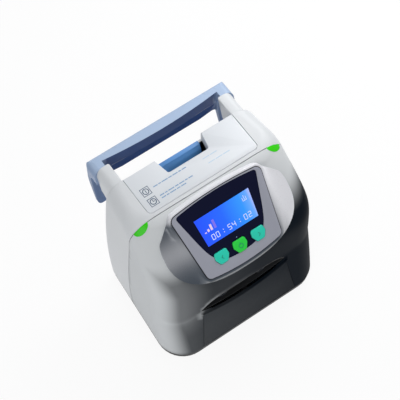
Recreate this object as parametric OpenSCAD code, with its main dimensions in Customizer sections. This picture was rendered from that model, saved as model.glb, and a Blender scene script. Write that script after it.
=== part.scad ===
// Bedside compression therapy pump, millimetres.
// X runs across the pump, -Y is the display side, +Y the hook side, +Z is up.
// The origin is the middle of the whole object's footprint, on the table.

/* [Body] */
// Width across the front corners at the base, before rounding
body_w = 198; // [190:1:212]
// Width across the back corners
back_w = 187; // [180:1:192]
// Depth from the back face to the front of the base
body_d = 132; // [126:0.5:140]
// Height of the flat top above the table
body_h = 188; // [180:1:200]
// Wall thickness of the housing mouldings
wall = 2.6; // [2:0.1:3.4]
// Radius of the top's side shoulders
shoulder_r = 16; // [12:1:20]
// Radius of the front vertical corners at the base
corner_r = 31; // [27:1:36]
// How much smaller that radius is at the top
corner_taper = 2; // [0:0.5:5]
// How much narrower each side is at the top than at the base
side_taper = 3; // [1:0.5:5]
// How far the sides belly out between the base and the top
side_bulge = 4; // [2:0.5:6]
// Radius of the back vertical corners
back_r = 4.5; // [4:0.5:8]
// How far the front leans back from the base up to the slot
skirt_lean = 11.5; // [8:0.5:13]
// Height of the flared skirt below the slot
skirt_h = 66; // [58:1:72]
// Depth of the top from the back face to the front housing's joint
seam_d = 51.6; // [46:0.2:56]
// Lean of the joint plane between front and rear housing
seam_lean = 2.5; // [1:0.1:4]

/* [Base] */
// Height of the base tray's outer band
tray_h = 7; // [5:0.5:9]
// How far the tray's band is set in from the skirt
tray_inset = 1; // [0.8:0.1:1.6]
// Thickness of the tray's floor
floor_t = 3; // [2.4:0.1:4]
// Radius of each rubber foot
foot_r = 8; // [6:0.5:10]
// How far each foot stands below the tray
foot_proud = 1.2; // [1:0.1:2]
// Depth of the foot's seat in the tray
foot_seat = 1.2; // [0.8:0.1:1.6]

/* [Top cover] */
// Half width of the cover plate
cover_half = 66; // [60:1:70]
// Thickness of the cover plate
cover_t = 2; // [1.6:0.1:2.4]
// Gap that shows as a line round the cover plate
cover_gap = 0.4; // [0.3:0.1:0.6]
// Strip of housing between the cover plate and the joint
cover_strip = 4.5; // [3.5:0.5:6]
// Radius of the cover plate's front corners
cover_r = 5; // [3:0.5:7]
// Half width of the hand notch at the back edge
notch_half = 28; // [24:0.5:31]
// Half width of the hand notch at its inner end
notch_inner = 25; // [20:0.5:26]
// Depth of the hand notch from the back face
notch_d = 19; // [16:0.5:22]
// Depth of the pocket below the top
notch_drop = 30; // [26:1:34]
// Half width of the blue grip insert at its top edge
insert_half = 22; // [19:0.5:23]
// Depth of the insert's top edge below the top
insert_drop = 11; // [9:0.5:14]

/* [Display] */
// Slope of the display face from level
panel_tilt = 43.8; // [42:0.2:46]
// Distance from the back face to the top edge of the display face
panel_back = 64.6; // [62:0.2:67]
// Height of the display face above the housing's slope
panel_rise = 5; // [4:0.5:6]
// Half width of the pod
pod_half = 75; // [72:0.5:77]
// Length of the pod along the slope
pod_len = 98; // [94:1:102]
// Distance along the slope from the face's top edge to the pod's middle
pod_mid = 33; // [31:0.5:35]
// Half width of the bezel near its top
bezel_half = 54; // [52:0.5:56]
// Half width of the bezel near its bottom
bezel_low = 45; // [43:0.5:47]
// Length of the bezel down the slope at its corners
bezel_len = 74; // [72:0.5:76]
// Thickness of the bezel plate
bezel_t = 2.4; // [2:0.1:3]
// How far the bezel stands above the pod
bezel_proud = 0.6; // [0.4:0.1:1]
// Width of the dark seal that shows round the bezel
seal_w = 0.9; // [0.7:0.1:1.2]
// Half width of the window's top edge
window_half = 48.5; // [46:0.5:50]
// How much narrower the window gets on each side for each millimetre down
window_taper = 0.27; // [0.2:0.01:0.3]
// Length of the window down the slope
window_len = 67; // [65:0.5:69]
// Thickness of the window
window_t = 1.6; // [1.2:0.1:1.8]
// Width of the lit screen
screen_w = 66; // [60:1:68]
// Height of the lit screen
screen_h = 31; // [28:1:33]
// Distance down the slope to the screen's top edge
screen_drop = 13; // [12:0.5:14]

/* [Buttons] */
// Width of each key
key_w = 15.5; // [13:0.5:17]
// Length of each key down the slope
key_len = 13.5; // [12:0.5:14.5]
// Distance between the middles of neighbouring keys
key_pitch = 22.3; // [20:0.1:24]
// Distance down the slope to the keys' middles
key_drop = 60.5; // [59.5:0.5:61.5]
// How far the keys stand above the window
key_proud = 1.8; // [1.4:0.1:2.4]
// Clearance round each key
key_gap = 0.35; // [0.3:0.05:0.5]
// Travel of each key
key_travel = 1; // [0.6:0.1:1.2]

/* [Front slot] */
// Half width of the dark slot
slot_half = 53; // [48:1:56]
// Height of the slot's opening at its middle
slot_h = 20; // [16:0.5:22]
// How much the slot's lower edge rises towards its ends
slot_rise = 8; // [5:0.5:10]
// Depth of the slot's recess
slot_depth = 10; // [8:0.5:12]
// Thickness of the slot's liner
liner_t = 1.6; // [1.2:0.1:2]
// Thickness of the lower front panel
panel_t = 1.8; // [1.4:0.1:2.2]
// How far the lower front panel stands out of the skirt
panel_proud = 0.3; // [0.1:0.1:0.6]
// How much wider the lower front panel is at its foot, on each side
panel_flare = 7; // [4:0.5:9]

/* [Bed hook] */
// How far the hook reaches behind the back face
hook_reach = 42; // [39:1:48]
// Half width of the hook over its limbs
hook_half = 85; // [81:0.5:86]
// How far the hook's limbs stand out beside the arms
arm_inset = 2.5; // [1.5:0.5:4]
// Width of each arm
arm_w = 16.5; // [15:0.5:18]
// Length of each arm behind the back face
arm_len = 25; // [22:0.5:26]
// Depth of each arm where it meets the housing
arm_root = 38; // [32:1:42]
// Depth of each arm at its end
arm_tip = 26; // [22:1:30]
// How far the arms lie below the flat top
arm_drop = 2.5; // [1.5:0.5:5]
// Thickness of the hook's rail, front to back
rail_t = 10; // [8:0.5:12]
// Extra thickness at the middle of the rail
rail_bow = 3.5; // [2:0.5:5]
// Height of the hook's rail
rail_h = 30; // [27:1:34]
// Width of each limb
limb_w = 14.5; // [12:0.5:17]
// How far the limbs reach down from the rail's top
limb_h = 61; // [56:1:66]
// How far the limbs lean in towards the back face
limb_lean = 18; // [14:0.5:20]
// Radius of the hook's outer corners
hook_r = 6; // [4:0.5:8]
// Radius of the screws that hold the hook
hook_screw_r = 2; // [1.6:0.1:2.4]

/* [Hose ports] */
// Outer radius of each hose port's collar
port_r = 5.6; // [4.6:0.1:5.8]
// Bore radius of each hose port
port_bore = 2.6; // [2:0.1:2.8]
// Distance between the two hose ports in the slot
port_pitch = 48; // [36:1:52]
// How far the hose ports stand out of the slot's back wall
port_out = 4.5; // [3:0.5:5]

/* [Rear face] */
// Width of the mains inlet's flange
inlet_w = 50; // [48:1:54]
// Height of the mains inlet's flange
inlet_h = 26; // [24:1:30]
// Width of the cooling fan
fan_w = 50; // [44:1:52]
// Depth of the cooling fan
fan_d = 15; // [12:1:18]
// Number of vent slots behind the fan
vent_n = 8; // [5:1:9]
// Height of each vent slot
vent_h = 2.6; // [2:0.1:3]

/* [Inside] */
// Radius of the pump motor
motor_r = 18; // [15:0.5:20]
// Length of the pump motor
motor_len = 44; // [38:1:48]
// Width of the pump block
pump_w = 34; // [30:1:38]
// Radius of the pump's crank disc
crank_r = 13; // [10:0.5:14]
// Radius of the pump's shaft
shaft_r = 2.5; // [2:0.1:3]
// Throw of the pump's eccentric pin
crank_throw = 5; // [3:0.5:6]
// Width of the battery pack
battery_w = 84; // [76:1:90]
// Thickness of the battery pack
battery_t = 26; // [22:1:28]
// Height of the battery pack
battery_h = 44; // [38:1:46]
// Width of the control board
board_w = 100; // [90:1:102]
// Height of the control board
board_h = 72; // [64:1:76]
// Thickness of the circuit boards
board_t = 1.6; // [1:0.2:2]
// Number of air valves on the manifold
valve_n = 4; // [2:1:4]
// Radius of each air valve
valve_r = 6.5; // [5:0.5:7]

/* [Hidden] */

// Colours
c_shell = "#d6d8dc";
c_front = "#8b9094";
c_pod = "#98a0b0";
c_bezel = "#9a9caa";
c_dark = "#16181c";
c_window = "#0a1030";
c_screen = "#2f72f5";
c_teal = "#25c8aa";
c_green = "#28d040";
c_tab = "#58e028";
c_hook = "#7b98c0";
c_grip = "#4f8acb";
c_board = "#2e6b45";
c_steel = "#a9abad";
c_rubber = "#26282b";

// Gap between faces that seat on each other, overlap of fused pieces, and running clearance
fit = 0.1;
weld = 0.5;
running = 0.05;

// Places in the shared frame
front_y = -(body_d + hook_reach) / 2;
back_y = front_y + body_d;
seam_y = back_y - seam_d;
tray_z = foot_proud;
floor_z = tray_z + floor_t;
shell_z = tray_z + tray_h;
inner_y = back_y - wall;

// Front of the housing: flared skirt, upright face, slope and rounded brow
face_y = front_y + skirt_lean + 2;
panel_z = body_h - 0.5;
slope_run = 1 / tan(panel_tilt);
slope_top = back_y - panel_back + panel_rise / sin(panel_tilt) + slope_run * (body_h - panel_z);
brow_r = 20;
brow_y = slope_top + brow_r * tan(panel_tilt / 2);
brow_z = body_h - brow_r + brow_r * cos(panel_tilt);
blend = 10;
function smooth_max(a, b, k) = (a + b + sqrt((a - b) * (a - b) + k * k)) / 2;
function skirt_y(z) = front_y + skirt_lean * (z - shell_z) / (skirt_h - shell_z);
function upright_y(z) = min(face_y, skirt_y(z));
function slope_y(z) = slope_top - slope_run * (body_h - z);
function brow(z) = brow_y - sqrt(max(0, brow_r * brow_r - pow(z - body_h + brow_r, 2)));
function front_at(z) = z > brow_z ? brow(z) : smooth_max(upright_y(z), slope_y(z), blend);
function shoulder(z) =
    let (up = z - (body_h - shoulder_r))
    up <= 0 ? 0 : shoulder_r - sqrt(max(0, shoulder_r * shoulder_r - up * up));
belly_z = 0.43 * body_h;
function belly(z) = side_bulge * pow((z - belly_z) / belly_z, 2);
function half_front(z) = (body_w + side_bulge) / 2 - side_taper * z / body_h - belly(z) / 2 - shoulder(z);
function half_back(z) = back_w / 2 - belly(z) - shoulder(z);
function radius_at(z) = corner_r - corner_taper * z / body_h;

// One level outline of the housing, drawn in by an inset
corner_steps = 9;
back_steps = 4;
ring_n = 2 * (corner_steps + back_steps + 2);
function arc(cx, cy, r, from, to, steps) =
    [for (i = [0:steps]) let (a = from + (to - from) * i / steps) [cx + r * cos(a), cy + r * sin(a)]];
function outline(z, inset) =
    let (
        yf = front_at(z) + inset,
        yb = back_y - inset,
        slant = (half_front(z) - half_back(z)) / (yb - yf),
        lean = atan(slant),
        xf = half_front(z) - inset / cos(lean),
        xb = half_back(z) - inset / cos(lean),
        rf = min(radius_at(z) - inset, (yb - yf) / 2.2),
        rb = back_r - inset,
        fx = xf - rf * slant - rf / cos(lean),
        bx = xb + rb * slant - rb / cos(lean)
    )
    concat(
        arc(fx, yf + rf, rf, -90, lean, corner_steps),
        arc(bx, yb - rb, rb, lean, 90, back_steps),
        arc(-bx, yb - rb, rb, 90, 180 - lean, back_steps),
        arc(-fx, yf + rf, rf, 180 - lean, 270, corner_steps)
    );

// Levels of the loft: skirt, upright, slope and shoulder
slope_z = 128;
function levels(z0, z1) = concat(
    [z0],
    [for (z = [skirt_h * 0.5, skirt_h, skirt_h + 12, slope_z - 18, slope_z, slope_z + 10, slope_z + 20,
        slope_z + 32]) if (z > z0 + 1 && z < z1 - 1) z],
    [for (a = [0:18:72]) let (z = body_h - shoulder_r + shoulder_r * sin(a)) if (z < z1 - 0.4) z],
    [z1]
);

// Housing solid between two levels
module body_loft(z0, z1, inset) {
    zs = levels(z0, z1);
    last = len(zs) - 1;
    points = [for (z = zs) for (p = outline(z, inset)) [p[0], p[1], z]];
    sides = [for (k = [0:last - 1], i = [0:ring_n - 1])
        let (j = (i + 1) % ring_n, a = k * ring_n, b = a + ring_n)
        each [[a + i, b + i, b + j], [a + i, b + j, a + j]]];
    bottom = [for (i = [0:ring_n - 1]) i];
    top = [for (i = [0:ring_n - 1]) last * ring_n + ring_n - 1 - i];
    polyhedron(points = points, faces = concat([bottom], sides, [top]), convexity = 6);
}
top_wall = wall + cover_t;
module housing_shell() {
    difference() {
        body_loft(shell_z, body_h, 0);
        body_loft(shell_z - 1, body_h - top_wall, wall);
    }
}

// Space behind the leaning joint plane, and space in front of it
big = 2 * body_w;
module at_joint() {
    translate([0, seam_y, body_h]) rotate([seam_lean, 0, 0]) children();
}
module behind_joint() {
    at_joint() translate([-big / 2, 0, -big]) cube([big, big, 2 * big]);
}
module before_joint() {
    at_joint() translate([-big / 2, -big, -big]) cube([big, big, 2 * big]);
}

// A level plate that follows the housing's outline at one height
module outline_plate(at_z, inset, z0, height) {
    translate([0, 0, z0]) linear_extrude(height) polygon(outline(at_z, inset));
}

// Screw posts that stand on the tray inside the corners
post_r = 5;
post_h = 26;
screw_r = 1.5;
screw_head_r = 3.6;
screw_head_h = 2.2;
post_gap = 1;
post_inset = tray_inset + wall + post_r + post_gap;
rear_post = [half_back(shell_z) - post_inset, back_y - post_inset];
front_post = [body_w / 2 - corner_r * 0.55 - post_r, front_y + corner_r * 0.6 + post_r + 2];
module each_side() {
    children();
    mirror([1, 0, 0]) children();
}
module post(spot) {
    translate([spot[0], spot[1], floor_z]) cylinder(r = post_r, h = post_h, $fn = 32);
    intersection() {
        translate([spot[0], spot[1] - post_r / 2, shell_z]) cube([body_w, post_r, post_h + floor_z - shell_z]);
        outline_plate(shell_z, wall / 2, shell_z, post_h);
    }
}
module post_bore(spot) {
    translate([spot[0], spot[1], floor_z - 1]) cylinder(r = screw_r + fit, h = post_h - 4, $fn = 24);
}

// Local frame on the display face: x across, y up the slope, z outwards
module on_panel() {
    translate([0, back_y - panel_back, panel_z]) rotate([panel_tilt, 0, 0]) children();
}
module slab(z0, height) {
    translate([0, 0, z0]) linear_extrude(height) children();
}
function bowed(x, half, base, rise) = base + rise * (1 - pow(x / half, 2));
module face_shape(half, low, top, bottom, bow_top, bow_low, round_r, grow) {
    steps = 8;
    upper = [for (i = [0:steps]) let (x = -half + 2 * half * i / steps) [x, bowed(x, half, top, bow_top)]];
    lower = [for (i = [0:steps]) let (x = low - 2 * low * i / steps) [x, bowed(x, low, -bottom, -bow_low)]];
    offset(r = round_r + grow, $fn = 24) offset(delta = -round_r) polygon(concat(upper, lower));
}
bezel_top = 1;
bezel_corner = 6;
window_corner = 3;
module bezel_shape(grow) {
    face_shape(bezel_half, bezel_low, bezel_top, bezel_len, 3.5, 4.5, bezel_corner, grow);
}
function window_x(s) = (window_half - window_taper * s) * pow(max(0, 1 - pow(s / window_len, 8)), 1 / 3);
module window_shape(grow) {
    steps = 12;
    ease = function (i) window_len * (1 - pow(1 - i / steps, 2));
    right = [for (i = [0:steps]) [window_x(ease(i)), -ease(i)]];
    left = [for (i = [steps - 1:-1:0]) [-window_x(ease(i)), -ease(i)]];
    crest = [for (i = [1:7]) let (x = -window_half + i * window_half / 4) [x, bowed(x, window_half, 0, 3.8)]];
    offset(r = window_corner + grow, $fn = 24) offset(delta = -window_corner)
        polygon(concat(right, left, crest));
}
module screen_shape(grow) {
    translate([-screen_w / 2 - grow, -screen_drop - screen_h - grow])
        square([screen_w + 2 * grow, screen_h + 2 * grow]);
}
pod_power = 2.5;
pod_steps = 36;
pod_top = 2;
pod_round = 8;
function super(half_x, half_y, power, steps) =
    [for (i = [0:steps - 1]) let (a = 360 * i / steps, c = cos(a), s = sin(a))
        [half_x * sign(c) * pow(abs(c), 2 / power), half_y * sign(s) * pow(abs(s), 2 / power)]];
module pod_shape(grow) {
    offset(r = pod_round, $fn = 24) offset(delta = -pod_round) intersection() {
        translate([0, -pod_mid]) polygon(super(pod_half + grow, pod_len / 2 + grow, pod_power, pod_steps));
        translate([-pod_half - grow, -2 * pod_len]) square([2 * (pod_half + grow), 2 * pod_len + pod_top]);
    }
}

// Depths below the display face
pocket_z = bezel_proud - bezel_t - fit;
window_top = bezel_proud - 0.3;
deck_t = 2;
deck_z = pocket_z - deck_t;
flange_t = 1.2;
flange_z = deck_z - 0.25 - flange_t;
board_gap = 0.6;
pcb_z = flange_z - key_travel - board_gap;
pod_root = 16;
pod_step = 4.5;
lcd_t = 5;
rim = 2.2;
module display_pod() {
    color(c_pod) difference() {
        on_panel() hull() {
            slab(-pod_root, pod_root - pod_step) pod_shape(0);
            slab(-1, 1) bezel_shape(seal_w + rim);
        }
        body_loft(shell_z, body_h, 0);
        on_panel() {
            slab(pocket_z, pod_root) bezel_shape(seal_w);
            slab(-2 * pod_root, 2 * pod_root + deck_z) bezel_shape(-4);
            slab(-pod_root, 2 * pod_root) screen_shape(1);
            for (x = key_spots) at_key(x) slab(-pod_root, 2 * pod_root) key_shape(key_gap);
        }
    }
    color(c_pod) on_panel() for (s = board_spots)
        translate([s[0], s[1], pcb_z]) cylinder(r = 2.5, h = deck_z - pcb_z + weld, $fn = 24);
}

module display_bezel() {
    color(c_bezel) on_panel() difference() {
        slab(bezel_proud - bezel_t, bezel_t) bezel_shape(0);
        slab(-bezel_t - 1, 2 * bezel_t + 2) window_shape(fit);
        for (x = key_spots) at_key(x) slab(-bezel_t - 1, 2 * bezel_t + 2) key_shape(key_gap);
    }
}

module display_seal() {
    color(c_dark) on_panel() slab(pocket_z, bezel_t - 1) difference() {
        bezel_shape(seal_w - running);
        bezel_shape(running);
    }
}

module display_window() {
    color(c_window) on_panel() difference() {
        slab(window_top - window_t, window_t) window_shape(0);
        for (x = key_spots) at_key(x) slab(-bezel_t - 1, 2 * bezel_t + 2) key_shape(key_gap);
    }
}

module lcd_module() {
    lcd_top = window_top - window_t;
    color(c_screen) on_panel() slab(lcd_top - lcd_t, lcd_t) screen_shape(0);
}

board_side = 6;
board_low = key_drop + key_len / 2 + 1;
board_spots = [[-screen_w / 2 - 3, -key_drop], [screen_w / 2 + 3, -key_drop]];
module display_board() {
    color(c_board) on_panel() {
        translate([-screen_w / 2 - board_side, -board_low, pcb_z - board_t])
            cube([screen_w + 2 * board_side, board_low - screen_drop, board_t]);
        for (x = key_spots) at_key(x) translate([0, 0, pcb_z - 0.2]) cylinder(r = 2.5, h = 0.6, $fn = 24);
        translate([-screen_w / 4, -screen_drop - screen_h / 2, pcb_z - board_t - 3])
            cube([screen_w / 2, screen_h / 3, 3.2]);
    }
}

// Keys: a cap with soft corners on a flange that keeps it behind the window
key_spots = [-key_pitch, 0, key_pitch];
key_edge = 0.8;
key_lip = 1.2;
module at_key(x) {
    translate([x, -key_drop, 0]) children();
}
module key_shape(grow) {
    top_half = key_w / 2 - 0.6;
    low_half = key_w / 2 - 3.4;
    belly = key_w / 2 + 0.4;
    round_r = 2.2;
    offset(r = round_r + grow, $fn = 20) offset(delta = -round_r) polygon([
        [-top_half, key_len / 2], [top_half, key_len / 2], [belly, 0],
        [low_half, -key_len / 2], [-low_half, -key_len / 2], [-belly, 0]
    ]);
}
module button(x) {
    cap_z = window_top + key_proud;
    on_panel() at_key(x) {
        slab(flange_z, cap_z - flange_z - key_edge) key_shape(0);
        slab(cap_z - key_edge - running, key_edge / 2 + running) key_shape(-0.3);
        slab(cap_z - key_edge / 2 - running, key_edge / 2 + running) key_shape(-0.8);
        slab(flange_z, flange_t) key_shape(key_lip);
    }
}
module button_left() { color(c_teal) button(-key_pitch); }
module button_power() { color(c_green) button(0); }
module button_right() { color(c_teal) button(key_pitch); }

// Green light pipes on the joint, at the top's corners
tab_x = cover_half + 14;
tab_half = 8;
tab_d = 3.4;
tab_root = 12;
module tab_prism(grow, z0, height) {
    each_side() translate([tab_x, seam_y - 1.5, z0]) linear_extrude(height)
        polygon([for (p = super(tab_half + grow, tab_d + grow, 2, 20)) p]);
}
module indicators() {
    color(c_tab) intersection() {
        body_loft(shell_z, body_h, 0);
        tab_prism(0, body_h - tab_root - shoulder_r / 2, 2 * shoulder_r);
    }
}

// The slot, drawn on the upright face: flat along its top, lower edge bowed down
slot_z = skirt_h - 7;
slot_end = 2;
slot_steps = 16;
function spread(i) = slot_half * sin(90 * (2 * i / slot_steps - 1));
function slot_low(x) = slot_rise * pow(x / slot_half, 2);
function slot_high(x) = slot_h - (slot_h - slot_rise - slot_end) * pow(abs(x) / slot_half, 6);
module slot_shape(grow) {
    upper = [for (i = [0:slot_steps]) [spread(i), slot_high(spread(i))]];
    lower = [for (i = [slot_steps:-1:0]) [spread(i), slot_low(spread(i))]];
    offset(delta = grow) polygon(concat(upper, lower));
}
module slot_prism(grow, from_y, depth) {
    translate([0, from_y, slot_z]) rotate([90, 0, 0]) linear_extrude(depth) slot_shape(grow);
}
slot_back = face_y + slot_depth;
module slot_liner() {
    color(c_dark) difference() {
        slot_prism(-running, slot_back, slot_depth - wall / 2);
        slot_prism(-running - liner_t, slot_back - liner_t, slot_depth + skirt_lean);
        for (x = port_x) at_port(x) translate([0, 0, -2 * liner_t])
            cylinder(r = tail_r + fit, h = 3 * liner_t, $fn = 40);
    }
}

// Two quick-fit hose ports in the slot's back wall
port_x = [-port_pitch / 2, port_pitch / 2];
port_z = slot_z + (slot_high(port_x[1]) + slot_low(port_x[1])) / 2;
port_lip = 0.6;
port_in = 6;
tail_r = port_bore + 1.4;
module at_port(x) {
    translate([x, slot_back - liner_t, port_z]) rotate([90, 0, 0]) children();
}
module hose_ports() {
    color(c_hook) for (x = port_x) at_port(x) difference() {
        rotate_extrude($fn = 48) polygon([
            [0, -liner_t - port_in], [tail_r, -liner_t - port_in], [tail_r, 0], [port_r - port_lip, 0],
            [port_r - port_lip, port_out / 3], [port_r, port_out / 2], [port_r, port_out - port_lip],
            [port_r - port_lip, port_out], [0, port_out]
        ]);
        translate([0, 0, -liner_t - port_in - 1])
            cylinder(r = port_bore, h = liner_t + port_in + port_out + 2, $fn = 32);
    }
}

skirt_tilt = atan(skirt_lean / (skirt_h - shell_z));
panel_edge = 2;
panel_r = 3;
module panel_prism(z0, depth, grow) {
    foot = slot_half + panel_flare;
    crest = [for (i = [slot_steps:-1:0]) [spread(i), slot_z - shell_z - panel_edge + slot_low(spread(i))]];
    translate([0, front_y, shell_z]) rotate([90 - skirt_tilt, 0, 0]) translate([0, 0, z0])
        linear_extrude(depth) offset(r = panel_r + grow, $fn = 20) offset(delta = -panel_r)
        polygon(concat([[-foot, panel_edge], [foot, panel_edge]], crest));
}
module lower_panel() {
    color(c_front) panel_prism(panel_proud - panel_t, panel_t, -fit);
}

module front_housing() {
    color(c_front) difference() {
        union() {
            difference() {
                housing_shell();
                behind_joint();
            }
            each_side() post(front_post);
        }
        on_panel() slab(-2 * pod_root, 3 * pod_root) bezel_shape(-4 + fit);
        slot_prism(0, face_y + slot_depth, slot_depth + skirt_lean);
        panel_prism(panel_proud - panel_t - fit, panel_t + 1, 0);
        tab_prism(fit, body_h - 2 * shoulder_r, 3 * shoulder_r);
        each_side() post_bore(front_post);
    }
}

// Hand notch and the pocket behind it
pocket_side = 2;
notch_lip = 12;
module notch_shape(grow) {
    polygon([
        [-notch_half - grow, 1], [-notch_half - grow, -1], [-notch_inner - grow, -notch_d - grow],
        [notch_inner + grow, -notch_d - grow], [notch_half + grow, -1], [notch_half + grow, 1]
    ]);
}
pocket_d = notch_d + 8;
module pocket_box(grow) {
    join = grow > 0 ? weld : 0;
    translate([-notch_half - grow, back_y - wall - pocket_d - grow, body_h - notch_drop - grow])
        cube([2 * (notch_half + grow), pocket_d + grow + join, notch_drop - top_wall + grow + join]);
}

// The arms that carry the hook, one behind each top corner
arm_top = body_h - arm_drop;
arm_slant = 9;
arm_end = back_y + arm_len;
arm_half = hook_half - arm_inset;
function arm_end_at(z) = arm_end - arm_slant * (arm_top - z) / arm_tip;
module arm_side() {
    polygon([
        [inner_y, arm_top], [arm_end, arm_top], [arm_end - arm_slant, arm_top - arm_tip],
        [arm_end - arm_slant - 6, arm_top - arm_tip - 3], [inner_y, arm_top - arm_root]
    ]);
}
module along_x(x0, width) {
    translate([x0, 0, 0]) rotate([90, 0, 90]) linear_extrude(width) children();
}
arm_round = 9;
module arm_end_view(top, low) {
    r = arm_round;
    polygon(concat(
        [[arm_half - 2 * arm_w, low], [arm_half, low]],
        arc(arm_half - r, top - r, r, 0, 90, 6),
        [[arm_half - 2 * arm_w, top]]
    ));
}
module arm() {
    intersection() {
        along_x(arm_half - arm_w, arm_w) arm_side();
        translate([0, arm_end + 1, 0]) rotate([90, 0, 0]) linear_extrude(arm_len + 2 * wall)
            arm_end_view(arm_top, arm_top - 2 * arm_root);
    }
}
hook_top = arm_top - 1;
limb_in = hook_half - limb_w;
hook_screw_x = (limb_in + arm_half) / 2;
hook_screw_z = hook_top - 8;
screw_grip = 14;

// The rear face's fittings
inlet_x = 54;
inlet_z = 44;
inlet_t = 2.4;
inlet_d = 22;
fan_x = 54;
fan_z = 124;
vent_pitch = fan_w / (vent_n + 1);
module rear_cuts() {
    translate([inlet_x - inlet_w / 2 + 3 - fit, inner_y - 1, inlet_z - inlet_h / 2 + 3 - fit])
        cube([inlet_w - 6 + 2 * fit, wall + 2, inlet_h - 6 + 2 * fit]);
    vent_low = fan_z - fan_w / 2 - vent_h / 2;
    for (i = [1:vent_n]) translate([fan_x - fan_w / 2 + 5, inner_y - 1, vent_low + i * vent_pitch])
        cube([fan_w - 10, wall + 2, vent_h]);
}

module rear_housing() {
    color(c_shell) difference() {
        union() {
            difference() {
                housing_shell();
                before_joint();
            }
            pocket_box(pocket_side);
            each_side() {
                arm();
                post(rear_post);
            }
        }
        pocket_box(0);
        translate([0, back_y, body_h - notch_lip]) linear_extrude(2 * notch_lip) notch_shape(0);
        translate([0, 0, body_h - cover_t]) linear_extrude(2 * cover_t) cover_shape(cover_gap);
        tab_prism(fit, body_h - 2 * shoulder_r, 3 * shoulder_r);
        rear_cuts();
        each_side() post_bore(rear_post);
        each_side() translate([hook_screw_x, arm_end + 1, hook_screw_z]) rotate([90, 0, 0])
            cylinder(r = hook_screw_r + fit, h = arm_slant + screw_grip + 2, $fn = 24);
    }
}

// Cover plate, seated in the housing's top
cover_front = seam_y + cover_strip;
module cover_shape(grow) {
    d = back_y - cover_front;
    difference() {
        translate([0, back_y]) polygon(concat(
            [[cover_half + grow, 0], [-cover_half - grow, 0]],
            arc(-cover_half + cover_r, -d + cover_r, cover_r + grow, 180, 270, 5),
            arc(cover_half - cover_r, -d + cover_r, cover_r + grow, 270, 360, 5)
        ));
        if (grow == 0) translate([0, back_y]) notch_shape(0);
    }
}
module top_cover() {
    color(c_shell) translate([0, 0, body_h - cover_t]) linear_extrude(cover_t) cover_shape(0);
}

// Blue grip insert: a sloped scoop that stands on the pocket's floor
insert_top = body_h - insert_drop;
module grip_insert() {
    run = pocket_d - 6;
    drop = notch_drop - insert_drop - 2;
    color(c_grip) intersection() {
        along_x(-insert_half, 2 * insert_half) polygon([
            [back_y - wall - fit, insert_top - 3], [back_y - wall - fit - 2, insert_top],
            [back_y - wall - 6, insert_top - 2], [back_y - wall - run, insert_top - drop],
            [back_y - wall - run, body_h - notch_drop], [back_y - wall - fit, body_h - notch_drop]
        ]);
        translate([0, back_y, body_h - 2 * notch_drop]) linear_extrude(2 * notch_drop) polygon([
            [-insert_half, 0], [insert_half, 0], [insert_half - 6, -pocket_d], [-insert_half + 6, -pocket_d]
        ]);
    }
}

module base_tray() {
    color(c_dark) difference() {
        outline_plate(shell_z, tray_inset, tray_z, tray_h);
        outline_plate(shell_z, tray_inset + wall, floor_z, tray_h);
        each_side() for (s = foot_spots) translate([s[0], s[1], tray_z - 1])
            cylinder(r = foot_r + fit, h = foot_seat + 1, $fn = 48);
        each_side() for (s = [rear_post, front_post]) translate([s[0], s[1], tray_z - 1]) {
            cylinder(r = screw_r + fit, h = floor_t + 2, $fn = 24);
            cylinder(r = screw_head_r + fit, h = screw_head_h + 1, $fn = 32);
        }
    }
}
foot_spots = [[back_w / 2 - 30, back_y - 24], [back_w / 2 - 34, front_y + 34]];
module feet() {
    top = foot_proud + foot_seat;
    color(c_rubber) each_side() for (s = foot_spots) translate([s[0], s[1], 0]) rotate_extrude($fn = 48)
        polygon([[0, 0], [foot_r - 0.6, 0], [foot_r, 0.6], [foot_r, top], [0, top]]);
}
module housing_screws() {
    color(c_steel) each_side() for (s = [rear_post, front_post]) translate([s[0], s[1], tray_z]) {
        cylinder(r = screw_head_r, h = screw_head_h - 0.2, $fn = 32);
        cylinder(r = screw_r, h = floor_t + post_h - 8, $fn = 24);
    }
}

// Carry handle and bed hook in one moulding: a rail on two blocks, with limbs that lean in below
hook_y = back_y + hook_reach;
rail_in = hook_y - rail_t;
rail_low = hook_top - rail_h;
limb_z = hook_top - 9;
limb_low = hook_top - limb_h;
limb_steps = 8;
limb_root = 9;
limb_tip = 3;
limb_bend = 1.3;
block_low = hook_top - 16;
block_cove = 5;
hook_crest = [[hook_y - 4, hook_top], [hook_y - 1.4, hook_top - 3.5]];
function limb_at(z) = (limb_z - z) / (limb_z - limb_low);
function outer_y(z) = hook_y - limb_lean * pow(limb_at(z), limb_bend);
function limb_inner(z) = outer_y(z) - limb_tip - (limb_root - limb_tip) * (1 - limb_at(z));
function down(from, to, steps) = [for (i = [0:steps]) from + (to - from) * i / steps];
module limb_side() {
    cove_z = block_low - block_cove;
    polygon(concat(
        [[arm_end_at(hook_top) + fit, hook_top]],
        hook_crest,
        [for (z = down(limb_z, limb_low + 1, limb_steps)) [outer_y(z), z]],
        [[outer_y(limb_low) - 1, limb_low], [limb_inner(limb_low) + 1, limb_low]],
        [for (z = down(limb_low + 1, cove_z, limb_steps)) [limb_inner(z), z]],
        [[limb_inner(block_low) - block_cove, block_low], [arm_end_at(block_low) + fit, block_low]]
    ));
}
module rail_side() {
    front = rail_in - rail_bow;
    polygon(concat(
        [[front, hook_top - 2], [front + 3, hook_top]],
        hook_crest,
        [for (z = down(limb_z, rail_low + 1, limb_steps)) [outer_y(z), z]],
        [[outer_y(rail_low) - 1, rail_low], [front, rail_low]]
    ));
}
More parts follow.
